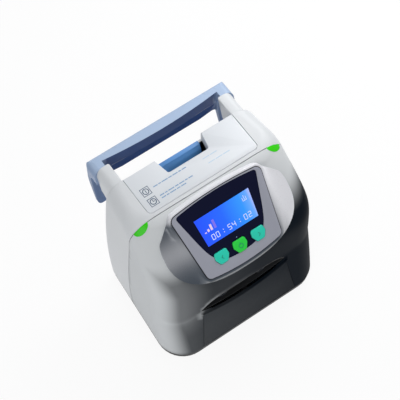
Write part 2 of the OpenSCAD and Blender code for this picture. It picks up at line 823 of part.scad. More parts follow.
module hook_plan() {
    steps = 10;
    inner = [for (i = [0:steps]) let (x = limb_in - 2 * limb_in * i / steps)
        [x, rail_in - rail_bow * (1 - pow(x / limb_in, 2))]];
    polygon(concat(
        [[-hook_half, back_y]],
        arc(-hook_half + hook_r, hook_y - hook_r, hook_r, 180, 90, 5),
        arc(hook_half - hook_r, hook_y - hook_r, hook_r, 90, 0, 5),
        [[hook_half, back_y], [limb_in, back_y]],
        inner,
        [[-limb_in, back_y]]
    ));
}
gusset = 8;
tip_round = 5;
module hook_front() {
    r = arm_round;
    inner_low = limb_in + 1;
    half = concat(
        arc(hook_half - r, hook_top - r, r, 90, 0, 6),
        arc(hook_half - tip_round, limb_low + tip_round, tip_round, 0, -90, 5),
        arc(inner_low + 2, limb_low + 2, 2, 270, 180, 3),
        [[limb_in - gusset, rail_low]]
    );
    last = len(half) - 1;
    polygon(concat(half, [for (i = [last:-1:0]) [-half[i][0], half[i][1]]]));
}
hook_screw_seat = 4;
module bed_hook() {
    color(c_hook) difference() {
        intersection() {
            union() {
                along_x(-hook_half, 2 * hook_half) rail_side();
                each_side() along_x(limb_in - gusset, limb_w + gusset) limb_side();
            }
            translate([0, 0, limb_low - 1]) linear_extrude(limb_h + 2) hook_plan();
            translate([0, hook_y + 1, 0]) rotate([90, 0, 0]) linear_extrude(hook_reach) hook_front();
        }
        each_side() translate([hook_screw_x, hook_y + 1, hook_screw_z]) rotate([90, 0, 0]) {
            cylinder(r = hook_screw_r + fit, h = hook_reach, $fn = 24);
            cylinder(r = 2 * hook_screw_r + fit, h = hook_screw_seat + 1, $fn = 32);
        }
    }
}
module hook_screws() {
    head_y = hook_y - hook_screw_seat;
    reach = head_y - (arm_end - arm_slant - screw_grip) - 2;
    color(c_steel) each_side() translate([hook_screw_x, head_y, hook_screw_z]) {
        rotate([90, 0, 0]) cylinder(r = hook_screw_r, h = reach, $fn = 24);
        rotate([-90, 0, 0]) cylinder(r = 2 * hook_screw_r, h = hook_screw_r, $fn = 32);
    }
}

module mains_inlet() {
    pin_w = 2;
    pin_h = 4;
    color(c_dark) translate([inlet_x, back_y, inlet_z]) {
        difference() {
            union() {
                translate([-inlet_w / 2, 0, -inlet_h / 2]) cube([inlet_w, inlet_t, inlet_h]);
                translate([-inlet_w / 2 + 3, -inlet_d, -inlet_h / 2 + 3])
                    cube([inlet_w - 6, inlet_d, inlet_h - 6]);
            }
            translate([-12, -inlet_d + 3, -8]) cube([24, inlet_d, 16]);
        }
        for (p = [[-7, -2], [0, 2], [7, -2]]) translate([p[0] - pin_w / 2, -inlet_d + 2, p[1] - pin_h / 2])
            cube([pin_w, inlet_d - 6, pin_h]);
    }
}

// Cooling fan behind the vent slots
fan_bore = fan_w / 2 - 1.8;
hub_r = 9;
fan_pin_r = 2;
blade_n = 7;
module at_fan() {
    translate([fan_x, inner_y, fan_z]) rotate([90, 0, 0]) children();
}
module fan_frame() {
    color(c_dark) at_fan() {
        difference() {
            translate([-fan_w / 2, -fan_w / 2, 0]) cube([fan_w, fan_w, fan_d]);
            translate([0, 0, -1]) cylinder(r = fan_bore, h = fan_d + 2, $fn = 64);
        }
        for (i = [0:3]) rotate(45 + 90 * i) translate([0, -1.2, fan_d - 2]) cube([fan_bore + 1, 2.4, 2]);
        translate([0, 0, fan_d - 2]) cylinder(r = hub_r, h = 2, $fn = 48);
        translate([0, 0, 3]) cylinder(r = fan_pin_r, h = fan_d - 4, $fn = 32);
    }
}
module fan_impeller() {
    hub_h = fan_d - 4.6;
    color(c_rubber) at_fan() translate([0, 0, 2]) difference() {
        union() {
            cylinder(r = hub_r, h = hub_h, $fn = 48);
            for (i = [0:blade_n - 1]) rotate(360 * i / blade_n) translate([hub_r - 1, 0, hub_h / 2])
                rotate([35, 0, 0]) translate([0, -0.7, -hub_h / 2])
                cube([fan_bore - hub_r, 1.4, hub_h]);
        }
        translate([0, 0, -1]) cylinder(r = fan_pin_r + running, h = hub_h + 2, $fn = 32);
    }
}

// Air pump on rubber isolators: motor, block with crank chamber, head
isolator_h = 4;
pump_back = 52;
pump_y = inner_y - pump_back;
pump_x = -2 - pump_w;
pump_d = 40;
pump_z = floor_z + isolator_h;
pump_h = port_z - pump_z - 5;
axis_z = pump_z + motor_r + 3;
chamber_d = 12;
module at_axis(x) {
    translate([x, pump_y, axis_z]) rotate([0, 90, 0]) children();
}
module pump_block() {
    color(c_steel) difference() {
        translate([pump_x, pump_y - pump_d / 2, pump_z]) cube([pump_w, pump_d, pump_h]);
        at_axis(pump_x + pump_w - chamber_d) cylinder(r = crank_r + 2, h = chamber_d + 1, $fn = 48);
        at_axis(pump_x - 1) cylinder(r = shaft_r + running, h = pump_w, $fn = 32);
        translate([pump_x + pump_w - chamber_d, pump_y - 5, axis_z]) cube([chamber_d - 3, 10, pump_h]);
    }
}
module pump_crank() {
    disc_x = pump_x + pump_w - chamber_d + 1;
    color("#c8a24a") {
        at_axis(pump_x - 8) cylinder(r = shaft_r, h = disc_x - pump_x + 9, $fn = 32);
        at_axis(disc_x) cylinder(r = crank_r, h = 4, $fn = 48);
        translate([0, 0, crank_throw]) at_axis(disc_x + 3) cylinder(r = shaft_r, h = 5, $fn = 24);
    }
}
module pump_motor() {
    color("#7d8288") difference() {
        union() {
            at_axis(pump_x - motor_len) cylinder(r = motor_r, h = motor_len, $fn = 64);
            at_axis(pump_x - motor_len - 3) cylinder(r = motor_r / 3, h = 4, $fn = 32);
        }
        at_axis(pump_x - 9) cylinder(r = shaft_r + running, h = 12, $fn = 32);
    }
}
head_t = 12;
nozzle_z = port_z;
head_z = pump_z + pump_h + fit;
nozzle_x = pump_x + pump_w / 2;
hose_bore = 2;
hose_r = 3.5;
spigot = 5;
module pump_head() {
    color(c_dark) {
        difference() {
            translate([pump_x, pump_y - pump_d / 2, head_z]) cube([pump_w, pump_d, head_t]);
            for (i = [0:4]) translate([pump_x - 1, pump_y - pump_d / 2 + 4 + i * 6, head_z + head_t - 4])
                cube([pump_w + 2, 2.5, head_t]);
        }
        translate([nozzle_x, pump_y - pump_d / 2 + 1, nozzle_z]) rotate([90, 0, 0])
            cylinder(r = hose_bore - running, h = spigot + 1, $fn = 24);
    }
}
module pump_isolators() {
    side = pump_w / 2 - 6;
    end = pump_d / 2 - 6;
    color(c_rubber) for (x = [-side, side], y = [-end, end])
        translate([pump_x + pump_w / 2 + x, pump_y + y, floor_z]) cylinder(r = 4.5, h = isolator_h, $fn = 32);
    color(c_rubber) translate([pump_x - motor_len + 8, pump_y, floor_z])
        cylinder(r = 5, h = axis_z - motor_r - floor_z - 0.1, $fn = 32);
}

// Valve manifold on the back of the slot's liner, between the pump and the ports
manifold_d = 14;
manifold_h = 16;
manifold_w = port_pitch + 20;
manifold_y = slot_back + fit;
valve_z = port_z + manifold_h / 2;
valve_h = 16;
valve_pitch = (manifold_w - 2 * valve_r - 2) / (valve_n - 1);
module valve_manifold() {
    color(c_steel) difference() {
        union() {
            translate([-manifold_w / 2, manifold_y, port_z - manifold_h / 2])
                cube([manifold_w, manifold_d, manifold_h]);
            translate([nozzle_x, manifold_y + manifold_d + spigot, nozzle_z]) rotate([90, 0, 0])
                cylinder(r = hose_bore - running, h = spigot + 1, $fn = 24);
        }
        for (x = port_x) at_port(x) translate([0, 0, -liner_t - port_in - 2])
            cylinder(r = tail_r + running, h = port_in + 3, $fn = 40);
    }
}
module air_valves() {
    color("#3b6ea8") for (i = [0:valve_n - 1])
        translate([(i - (valve_n - 1) / 2) * valve_pitch, manifold_y + manifold_d / 2, valve_z + fit]) {
            cylinder(r = valve_r, h = valve_h, $fn = 40);
            cylinder(r = valve_r / 2, h = valve_h + 4, $fn = 32);
        }
}
module air_hoses() {
    from_y = manifold_y + manifold_d + fit;
    to_y = pump_y - pump_d / 2 - fit;
    color("#dfe3e6") translate([nozzle_x, to_y, nozzle_z]) rotate([90, 0, 0]) difference() {
        cylinder(r = hose_r, h = to_y - from_y, $fn = 32);
        translate([0, 0, -1]) cylinder(r = hose_bore, h = to_y - from_y + 2, $fn = 24);
    }
}

// Battery pack behind the lower panel, held by a steel strap
battery_off = 14;
battery_x = battery_off - battery_w / 2;
battery_y = pump_y - pump_d / 2 - 3 - battery_t;
module battery_pack() {
    color("#34495e") {
        translate([battery_x, battery_y, floor_z]) cube([battery_w, battery_t, battery_h]);
        translate([battery_x + battery_w - weld, battery_y + 4, floor_z + battery_h / 2])
            cube([4, battery_t - 8, 6]);
    }
}
strap_w = 12;
strap_t = 1;
module battery_strap() {
    translate([battery_x + battery_w / 2 - strap_w / 2, battery_y - fit, floor_z]) color(c_steel) difference() {
        translate([0, -strap_t - 6, 0]) union() {
            translate([0, 6, 0]) cube([strap_w, battery_t + 2 * strap_t + 2 * fit, battery_h + strap_t + fit]);
            cube([strap_w, 7, strap_t]);
        }
        translate([-1, 0, -1]) cube([strap_w + 2, battery_t + 2 * fit, battery_h + 1 + fit]);
    }
}

supply_x = 6;
supply_w = 78;
supply_d = 44;
supply_gap = 5;
supply_back = 6;
supply_y = inner_y - inlet_d - supply_back - supply_d;
module power_supply() {
    deck = floor_z + supply_gap;
    color(c_board) translate([supply_x, supply_y, deck]) cube([supply_w, supply_d, board_t]);
    color(c_steel) for (x = [4, supply_w - 4], y = [4, supply_d - 4])
        translate([supply_x + x, supply_y + y, floor_z]) cylinder(r = 2.5, h = supply_gap, $fn = 24);
    color("#c9b458") translate([supply_x + 8, supply_y + 8, deck + board_t - 0.2]) cube([26, 24, 22]);
    color(c_dark) for (i = [0:1]) translate([supply_x + 46, supply_y + 12 + i * 18, deck + board_t - 0.2])
        cylinder(r = 7, h = 24, $fn = 40);
    color(c_steel) translate([supply_x + 62, supply_y + 5, deck + board_t - 0.2]) cube([3, supply_d - 10, 26]);
}

// Control board on spacers from the rear wall
spacer_h = 9;
board_side_gap = 14;
board_x = board_side_gap - back_w / 2;
board_z = nozzle_z + head_t;
board_y = inner_y - spacer_h - board_t;
board_top = min(board_h, body_h - notch_drop - pocket_side - 2 - board_z);
module main_board() {
    color(c_board) translate([board_x, board_y, board_z]) cube([board_w, board_t, board_top]);
    color(c_dark) for (c = [[20, 20, 18], [52, 26, 14], [74, 12, 12]])
        translate([board_x + c[0], board_y - 2, board_z + c[1]]) cube([c[2], 2.2, c[2]]);
    color("#e8e4d8") for (i = [0:2]) translate([board_x + 12 + i * 26, board_y - 7, board_z + 2])
        cube([16, 7.2, 6]);
}
module board_spacers() {
    color(c_steel) for (x = [board_x + 5, board_x + board_w - 5], z = [board_z + 5, board_z + board_top - 5])
        translate([x, inner_y, z]) rotate([90, 0, 0]) cylinder(r = 3, h = spacer_h, $fn = 32);
}

// Speaker beside the battery pack
speaker_r = 15;
speaker_h = 9;
speaker_gap = 3;
module speaker() {
    color(c_dark) translate([battery_x - speaker_gap - speaker_r, battery_y + battery_t / 2, floor_z])
        rotate_extrude($fn = 48) polygon([
            [0, 0], [speaker_r, 0], [speaker_r, speaker_h / 3], [2 * speaker_r / 3, speaker_h], [0, speaker_h]
        ]);
}

front_housing();
rear_housing();
top_cover();
grip_insert();
base_tray();
feet();
lower_panel();
slot_liner();
display_pod();
display_bezel();
display_seal();
display_window();
lcd_module();
display_board();
button_left();
button_power();
button_right();
indicators();
bed_hook();
hook_screws();
hose_ports();
mains_inlet();
fan_frame();
fan_impeller();
pump_block();
pump_head();
pump_crank();
pump_motor();
pump_isolators();
valve_manifold();
air_valves();
air_hoses();
battery_pack();
battery_strap();
power_supply();
main_board();
board_spacers();
speaker();
housing_screws();
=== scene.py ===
# Bedside compression therapy pump: housing, display pod, keys, hose slot and bed hook.
# Lengths are in millimetres until a point is placed, and every object is in metres.

import math
import bmesh
import bpy
from mathutils import Matrix, Vector


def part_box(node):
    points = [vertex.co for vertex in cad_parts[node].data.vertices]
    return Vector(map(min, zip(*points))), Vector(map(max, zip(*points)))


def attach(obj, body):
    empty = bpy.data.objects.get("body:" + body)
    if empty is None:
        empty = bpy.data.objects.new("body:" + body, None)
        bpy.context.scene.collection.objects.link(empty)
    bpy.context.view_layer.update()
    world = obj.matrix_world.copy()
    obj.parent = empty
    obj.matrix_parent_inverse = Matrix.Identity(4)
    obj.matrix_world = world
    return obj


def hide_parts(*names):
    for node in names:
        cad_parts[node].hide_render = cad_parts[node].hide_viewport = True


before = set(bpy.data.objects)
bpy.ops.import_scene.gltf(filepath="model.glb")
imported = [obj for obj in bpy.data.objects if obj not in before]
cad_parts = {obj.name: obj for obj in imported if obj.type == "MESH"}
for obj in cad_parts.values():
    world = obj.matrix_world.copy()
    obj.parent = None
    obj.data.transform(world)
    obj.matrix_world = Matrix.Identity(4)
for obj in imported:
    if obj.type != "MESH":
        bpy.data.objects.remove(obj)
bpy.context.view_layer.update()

MM = 0.001
QUARTER = math.pi / 2
BODY = "body"

# ---- sizes, from the frame


def node_box(node):
    low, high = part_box(node)
    return [v / MM for v in low], [v / MM for v in high]


cover_high = node_box("top_cover")[1]
body_h = cover_high[2]
back_y = cover_high[1]
front_y = node_box("front_housing")[0][1]
hook_y = node_box("bed_hook")[1][1]
shell_z = node_box("base_tray")[1][2]
body_w = 197.9
back_w = 187.0
wall = 2.6

# Outline of the housing
shoulder_r = 16.0
corner_r = 31.0
corner_taper = 2.0
back_r = 4.5
side_taper = 3.0
side_bulge = 4.0
belly_z = 0.43 * body_h
skirt_lean = 11.5
skirt_h = 66.0
seam_y = back_y - 51.6
seam_lean = math.radians(2.5)

# Display face
panel_tilt = math.radians(43.8)
panel_origin = Vector((0.0, back_y - 64.6, body_h - 0.5))
panel_rise = 5.0
bezel_proud = 0.6
bezel_t = 2.4
seal_w = 0.9

face_y = front_y + skirt_lean + 2
slope_run = 1 / math.tan(panel_tilt)
slope_top = panel_origin.y + panel_rise / math.sin(panel_tilt) + slope_run * 0.5
brow_r = 20.0
brow_y = slope_top + brow_r * math.tan(panel_tilt / 2)
brow_z = body_h - brow_r + brow_r * math.cos(panel_tilt)


def smooth_max(a, b, k):
    return (a + b + math.sqrt((a - b) ** 2 + k * k)) / 2


def front_at(z):
    """Front of the housing at a height: flared skirt, upright face, slope and rounded brow."""
    if z > brow_z:
        return brow_y - math.sqrt(max(0.0, brow_r ** 2 - (z - body_h + brow_r) ** 2))
    skirt = front_y + skirt_lean * (z - shell_z) / (skirt_h - shell_z)
    return smooth_max(min(face_y, skirt), slope_top - slope_run * (body_h - z), 10)


def shoulder(z):
    """How far the round shoulder draws the sides in at a height."""
    up = max(0.0, z - (body_h - shoulder_r))
    return shoulder_r - math.sqrt(max(0.0, shoulder_r ** 2 - up * up))


def belly(z):
    return side_bulge * ((z - belly_z) / belly_z) ** 2


def half_front(z):
    return (body_w + side_bulge) / 2 - side_taper * z / body_h - belly(z) / 2 - shoulder(z)


def half_back(z):
    return back_w / 2 - belly(z) - shoulder(z)


def arc(cx, cy, r, start, end, steps):
    turns = [start + (end - start) * i / steps for i in range(steps + 1)]
    return [(cx + r * math.cos(a), cy + r * math.sin(a)) for a in turns]


def line(start, end, steps):
    return [(start[0] + (end[0] - start[0]) * i / steps, start[1] + (end[1] - start[1]) * i / steps)
            for i in range(1, steps)]


def quarter_turn(steps):
    return [QUARTER * i / steps for i in range(steps + 1)]


def circle(cx, cy, r, steps=32):
    return arc(cx, cy, r, 0, 2 * math.pi * (steps - 1) / steps, steps - 1)


def rectangle(cx, cy, width, height):
    x, y = width / 2, height / 2
    return [(cx - x, cy - y), (cx + x, cy - y), (cx + x, cy + y), (cx - x, cy + y)]


def housing_ring(z, inset, detail):
    """One level of the housing's outline, anticlockwise from the front left."""
    yf = front_at(z) + inset
    yb = back_y - inset
    slant = (half_front(z) - half_back(z)) / (yb - yf)
    lean = math.atan(slant)
    xf = half_front(z) - inset / math.cos(lean)
    xb = half_back(z) - inset / math.cos(lean)
    rf = min(corner_r - corner_taper * z / body_h - inset, (yb - yf) / 2.2)
    rb = back_r - inset
    fx = xf - rf * slant - rf / math.cos(lean)
    bx = xb + rb * slant - rb / math.cos(lean)
    front_right = arc(fx, yf + rf, rf, -QUARTER, lean, 3 * detail)
    rear_right = arc(bx, yb - rb, rb, lean, QUARTER, detail)
    half = front_right + line(front_right[-1], rear_right[0], 2 * detail) + rear_right
    mirrored = [(-x, y) for x, y in reversed(half)]
    return (half + line(half[-1], mirrored[0], 3 * detail) + mirrored
            + line(mirrored[-1], half[0], 4 * detail))


# ---- mesh helpers


def place(x, y, z):
    return Vector((x * MM, y * MM, z * MM))


def from_side(y, z, x):
    return place(x, y, z)


def from_front(x, z, y):
    return place(x, y, z)


def on_panel(x, up, out):
    """A point of the display face: x across, up the slope, out of the face."""
    tilt = Matrix.Rotation(panel_tilt, 3, "X")
    return (panel_origin + tilt @ Vector((x, up, out))) * MM


def loft(rings, close=True):
    """A skin that is extruded from ring to ring, and closed at both ends."""
    bm = bmesh.new()
    start = [bm.verts.new(p) for p in rings[0]]
    edges = [bm.edges.new((start[i], start[(i + 1) % len(start)])) for i in range(len(start))]
    if close:
        bm.faces.new(start)
    loop = start
    for ring in rings[1:]:
        made = bmesh.ops.extrude_edge_only(bm, edges=edges)["geom"]
        edges = [e for e in made if isinstance(e, bmesh.types.BMEdge) and len(e.link_faces) == 1]
        step = {v: e.other_vert(v) for v in loop for e in v.link_edges
                if e.other_vert(v) not in loop and e.other_vert(v) in made}
        loop = [step[v] for v in loop]
        for v, p in zip(loop, ring):
            v.co = p
    if close:
        bm.faces.new(loop)
    bmesh.ops.recalc_face_normals(bm, faces=bm.faces)
    return bm


def prism(outline, low, high, at=place):
    """An outline pushed from one depth to another."""
    return loft([[at(x, y, low) for x, y in outline], [at(x, y, high) for x, y in outline]])


def as_mesh(bm, name):
    mesh = bpy.data.meshes.new(name)
    bm.to_mesh(mesh)
    bm.free()
    return mesh


def join(parts):
    """One mesh that holds several separate ones."""
    joined = bmesh.new()
    for part in parts:
        mesh = as_mesh(part, "part")
        joined.from_mesh(mesh)
        bpy.data.meshes.remove(mesh)
    return joined


def linked(name, data):
    """A new object in the scene."""
    obj = bpy.data.objects.new(name, data)
    bpy.context.scene.collection.objects.link(obj)
    return obj


def combine(bm, others, operation):
    """The solid after others are cut from it or joined to it."""
    base = linked("base", as_mesh(bm, "base"))
    tools = []
    for other in others:
        tool = linked("tool", as_mesh(other, "tool"))
        cut = base.modifiers.new("cut", "BOOLEAN")
        cut.operation = operation
        cut.solver = "EXACT"
        cut.object = tool
        tools.append(tool)
    depsgraph = bpy.context.evaluated_depsgraph_get()
    result = bmesh.new()
    result.from_mesh(base.evaluated_get(depsgraph).to_mesh())
    for item in [base] + tools:
        bpy.data.objects.remove(item, do_unlink=True)
    bmesh.ops.remove_doubles(result, verts=result.verts, dist=0.00001)
    return result


def cad_copy(node):
    """The node's own mesh, merged, with its flat faces whole again."""
    bm = bmesh.new()
    bm.from_mesh(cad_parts[node].data)
    bmesh.ops.remove_doubles(bm, verts=bm.verts, dist=0.000005)
    bmesh.ops.dissolve_limit(bm, angle_limit=math.radians(1), verts=bm.verts, edges=bm.edges)
    return bm


def sharp_edges(bm, degrees):
    return [e for e in bm.edges
            if len(e.link_faces) == 2 and e.calc_face_angle(0) > math.radians(degrees)]


def round_edges(bm, edges, width, segments=3):
    bmesh.ops.bevel(bm, geom=edges, offset=width * MM, segments=segments, profile=0.5,
                    affect="EDGES", material=-1, clamp_overlap=True)


def piece(bm, name, finish, replaces=(), body=BODY, smooth=35, weighted=False):
    """A finished object from a mesh, with its finish, its body and the nodes it stands for."""
    mesh = as_mesh(bm, name)
    mesh.materials.append(finish)
    mesh.shade_smooth()
    mesh.set_sharp_from_angle(angle=math.radians(smooth))
    obj = linked(name, mesh)
    if weighted:
        normals = obj.modifiers.new("normals", "WEIGHTED_NORMAL")
        normals.keep_sharp = True
    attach(obj, body)
    if replaces:
        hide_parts(*replaces)
    return obj


# ---- materials


def srgb(code):
    """Linear colour of an sRGB hex value."""
    parts = [int(code[i:i + 2], 16) / 255 for i in (1, 3, 5)]
    return tuple(c / 12.92 if c <= 0.04045 else ((c + 0.055) / 1.055) ** 2.4 for c in parts) + (1.0,)


def add(tree, kind, values=None, links=None, **settings):
    """A shader node with its settings, socket values and incoming links."""
    made = tree.nodes.new(kind)
    for key, value in settings.items():
        setattr(made, key, value)
    for socket, value in (values or {}).items():
        made.inputs[socket].default_value = value
    for socket, source in (links or {}).items():
        tree.links.new(source, made.inputs[socket])
    return made


def surface(name, values):
    """A new material with its shader's socket values set, its node tree and its shader."""
    mat = bpy.data.materials.new(name)
    mat.use_nodes = True
    shader = mat.node_tree.nodes["Principled BSDF"]
    for socket, value in values.items():
        shader.inputs[socket].default_value = value
    return mat, mat.node_tree, shader


def moulded(name, colour, roughness, ior, grain_mm=0.0, grain_depth=0.0, mottle=0.0, metallic=0.0,
            coat=0.0, emission=None, glow=0.0, painted_light_and_shade=None, subsurface=0.0, shine=0.5):
    """A solid finish: a colour that varies a little, with a fine grain on its surface.

    The optional second colour is painted light and shade; a mesh attribute named like the argument
    mixes it in.
    """
    values = {"Base Color": srgb(colour), "Roughness": roughness, "IOR": ior, "Metallic": metallic,
              "Coat Weight": coat, "Specular IOR Level": shine, "Subsurface Weight": subsurface,
              "Subsurface Scale": 0.002}
    if glow:
        values.update({"Emission Color": srgb(emission or colour), "Emission Strength": glow})
    mat, tree, shader = surface(name, values)
    place_in = add(tree, "ShaderNodeTexCoord")
    colour_out = None
    if painted_light_and_shade:
        share = add(tree, "ShaderNodeAttribute", attribute_name="painted_light_and_shade")
        both = add(tree, "ShaderNodeMix", {"A": srgb(colour), "B": srgb(painted_light_and_shade)},
                   {"Factor": share.outputs["Fac"]}, data_type="RGBA")
        colour_out = both.outputs["Result"]
    if mottle:
        cloud = add(tree, "ShaderNodeTexNoise", {"Scale": 45.0, "Detail": 4.0},
                    {"Vector": place_in.outputs["Object"]})
        tint = add(tree, "ShaderNodeMapRange", {"To Min": 1 - mottle, "To Max": 1 + mottle},
                   {"Value": cloud.outputs["Fac"]})
        shade = add(tree, "ShaderNodeMix", {"Factor": 1.0, "A": srgb(colour)},
                    {"B": tint.outputs["Result"]}, data_type="RGBA", blend_type="MULTIPLY")
        if colour_out:
            tree.links.new(colour_out, shade.inputs["A"])
        colour_out = shade.outputs["Result"]
    if colour_out:
        tree.links.new(colour_out, shader.inputs["Base Color"])
    if grain_mm:
        grain = add(tree, "ShaderNodeTexNoise", {"Scale": 1 / (grain_mm * MM), "Detail": 2.0},
                    {"Vector": place_in.outputs["Object"]})
        bump = add(tree, "ShaderNodeBump", {"Strength": 0.35, "Distance": grain_depth * MM},
                   {"Height": grain.outputs["Fac"]})
        tree.links.new(bump.outputs["Normal"], shader.inputs["Normal"])
        rough = add(tree, "ShaderNodeMapRange",
                    {"To Min": roughness - 0.05, "To Max": roughness + 0.08},
                    {"Value": grain.outputs["Fac"]})
        tree.links.new(rough.outputs["Result"], shader.inputs["Roughness"])
    return mat


# Spark-textured ABS: the mould's fine grain takes the edge off the highlights
shell_abs = moulded("Light grey spark-textured ABS", "#d4d7da", 0.42, 1.54, 0.7, 0.03, 0.02)
# The front moulding runs from light grey to charcoal as painted light and shade
front_painted_light_and_shade = moulded("Satin ABS with painted light and shade", "#131a22", 0.45, 1.5, 0.8, 0.02, 0.02,
                      painted_light_and_shade="#d4d7d9", shine=0.02)
# The panel under the slot is charcoal as painted shade, with a faint painted light mixed in
panel_painted_shade = moulded("Satin ABS with painted shade and light", "#131a22", 0.42, 1.5, 0.8, 0.02, 0.02,
                      painted_light_and_shade="#d4d7d9", shine=0.02)
cover_abs = moulded("Near-white satin ABS", "#d8dce1", 0.38, 1.54, 0.9, 0.02, 0.015)
# Silver paint with fine flake under lacquer, its dark base and pale second colour painted shade and
# painted light
pod_lacquer_painted_light = moulded("Silver blue lacquer with painted light and shade", "#434c57", 0.28, 1.5, 0.8, 0.015, 0.02, metallic=0.1,
                    coat=0.4, painted_light_and_shade="#f0f0f5")
bezel_abs = moulded("Silver grey satin ABS", "#a6a8b5", 0.34, 1.54, 0.8, 0.02, 0.02, metallic=0.1,
                    coat=0.2)
seal_rubber = moulded("Black seal rubber", "#1b1c1f", 0.6, 1.52, 0.6, 0.03)
window_acrylic = moulded("Screen-printed acrylic", "#070c2c", 0.16, 1.49, shine=0.15)
teal_key = moulded("Teal silicone key", "#1edabd", 0.32, 1.45, 1.0, 0.01, 0.03, coat=0.3,
                   subsurface=0.1)
green_key = moulded("Green silicone key", "#1fe044", 0.32, 1.45, 1.0, 0.01, 0.03, coat=0.3,
                    subsurface=0.1)
light_pipe = moulded("Green acrylic light pipe", "#34c80c", 0.25, 1.49, emission="#3ee010",
                     glow=0.08, shine=0.2)
# The hook's pale blue turns navy as painted shade, on the faces that face the front and the sides and
# inside the limbs
hook_nylon_painted_shade = moulded("Blue satin nylon with painted shade", "#a9bdd9", 0.36, 1.53, 0.9, 0.03, 0.03,
                     painted_light_and_shade="#1c3f78", shine=0.22)
grip_nylon = moulded("Mid blue nylon", "#5590d0", 0.4, 1.53, 0.9, 0.03, 0.03)
black_abs = moulded("Black textured ABS", "#15171a", 0.5, 1.54, 0.9, 0.05, 0.05)
foot_rubber = moulded("Black foot rubber", "#1a1b1d", 0.75, 1.52, 0.8, 0.06, 0.05)
zinc_steel = moulded("Zinc-plated steel", "#b4b7ba", 0.28, 1.5, 1.2, 0.01, 0.04, metallic=1.0)
cast_metal = moulded("Cast aluminium", "#a7aaad", 0.48, 1.5, 0.7, 0.05, 0.05, metallic=1.0)
brass_metal = moulded("Turned brass", "#c8a24a", 0.25, 1.5, 1.0, 0.01, 0.03, metallic=1.0)
motor_paint = moulded("Enamelled motor can", "#6f757b", 0.35, 1.5, 1.0, 0.02, 0.04, metallic=0.6)
board_resin = moulded("Green solder resist", "#1f6b40", 0.35, 1.52, 1.5, 0.02, 0.1)
valve_resin = moulded("Blue moulded coil", "#2f62a4", 0.4, 1.54, 1.0, 0.02, 0.04)
hose_silicone = moulded("Clear grey silicone", "#cfd6da", 0.4, 1.41, 1.0, 0.01, 0.02, subsurface=0.2)
battery_wrap = moulded("Blue shrink wrap", "#28435e", 0.25, 1.5, 4.0, 0.2, 0.06)
port_nylon = moulded("Charcoal port nylon", "#1d232c", 0.35, 1.53, 0.9, 0.02, 0.03)
ink_dark = moulded("Blue grey print ink", "#34506e", 0.5, 1.5)
ink_faint = moulded("Faint blue print ink", "#bcd3e6", 0.5, 1.5)
key_ink = moulded("Dark green key print", "#16866a", 0.4, 1.5)
ink_light = moulded("Pale blue print ink", "#7fa2c6", 0.5, 1.5)


def lit_screen():
    """Backlit blue display: the light is paler towards the right edge."""
    mat, tree, shader = surface("Backlit blue display",
                                {"Roughness": 0.12, "IOR": 1.49, "Emission Strength": 0.45})
    spot = add(tree, "ShaderNodeTexCoord")
    split = add(tree, "ShaderNodeSeparateXYZ", links={"Vector": spot.outputs["Object"]})
    half = screen_half_w * MM
    across = add(tree, "ShaderNodeMapRange", {"From Min": -half, "From Max": half},
                 {"Value": split.outputs["X"]})
    ramp = add(tree, "ShaderNodeValToRGB", links={"Fac": across.outputs["Result"]})
    stops = [(0.0, "#1749ee"), (0.45, "#1b60f4"), (0.8, "#2a8cf4"), (0.93, "#5f9df6"),
             (1.0, "#a8b4f4")]
    band = ramp.color_ramp
    for place_at, code in stops[1:-1]:
        band.elements.new(place_at)
    for element, (place_at, code) in zip(band.elements, stops):
        element.position = place_at
        element.color = srgb(code)
    tree.links.new(ramp.outputs["Color"], shader.inputs["Base Color"])
    tree.links.new(ramp.outputs["Color"], shader.inputs["Emission Color"])
    return mat


screen_half_w = 33.0
screen_half_h = 15.5
screen_mid = -28.5
screen_glow = lit_screen()
digit_glow = moulded("Lit display mark", "#c4d0f6", 0.3, 1.49, glow=0.35)
pink_glow = moulded("Lit pink display mark", "#dcc4de", 0.3, 1.49, glow=0.35)
violet_glow = moulded("Lit violet display mark", "#7a6ee8", 0.3, 1.49, glow=0.3)

# Nodes that keep their own shape
kept = [
    (black_abs, "base_tray slot_liner mains_inlet fan_frame fan_impeller pump_head speaker lcd_module"),
    (foot_rubber, "feet pump_isolators"), (seal_rubber, "display_seal"),
    (zinc_steel, "hook_screws housing_screws battery_strap board_spacers"),
    (cast_metal, "pump_block valve_manifold"), (brass_metal, "pump_crank"),
    (motor_paint, "pump_motor"), (valve_resin, "air_valves"), (hose_silicone, "air_hoses"),
    (battery_wrap, "battery_pack"), (board_resin, "power_supply main_board display_board"),
]
for finish, nodes in kept:
    for node in nodes.split():
        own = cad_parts[node].data
        own.materials.clear()
        own.materials.append(finish)


def store_painted_light_and_shade(obj, share, by_corner=False):
    """Store how much of the second colour, the painted light and shade, each point or each corner of a
    flat face shows.
    """
    mesh = obj.data
    if by_corner:
        layer = mesh.attributes.new("painted_light_and_shade", "FLOAT", "CORNER")
        values = [share(mesh.vertices[mesh.loops[k].vertex_index].co / MM, face.normal)
                  for face in mesh.polygons for k in face.loop_indices]
    else:
        layer = mesh.attributes.new("painted_light_and_shade", "FLOAT", "POINT")
        values = [share(vertex.co / MM, vertex.normal) for vertex in mesh.vertices]
    layer.data.foreach_set("value", values)


def ramp(low, high, value):
    """0 at low, 1 at high, and smooth between them."""
    t = min(1.0, max(0.0, (value - low) / (high - low)))
    return t * t * (3 - 2 * t)


# ---- housing


def housing_levels(step):
    foot = [shell_z + (skirt_h - shell_z) * i / 12 for i in range(13)]
    mid = [skirt_h + (body_h - shoulder_r - skirt_h) * i / 34 for i in range(1, 34)]
    top = [body_h - shoulder_r + shoulder_r * math.sin(math.radians(a)) for a in range(0, 90, 6)]
    return (foot + mid + top)[::step] + [body_h]


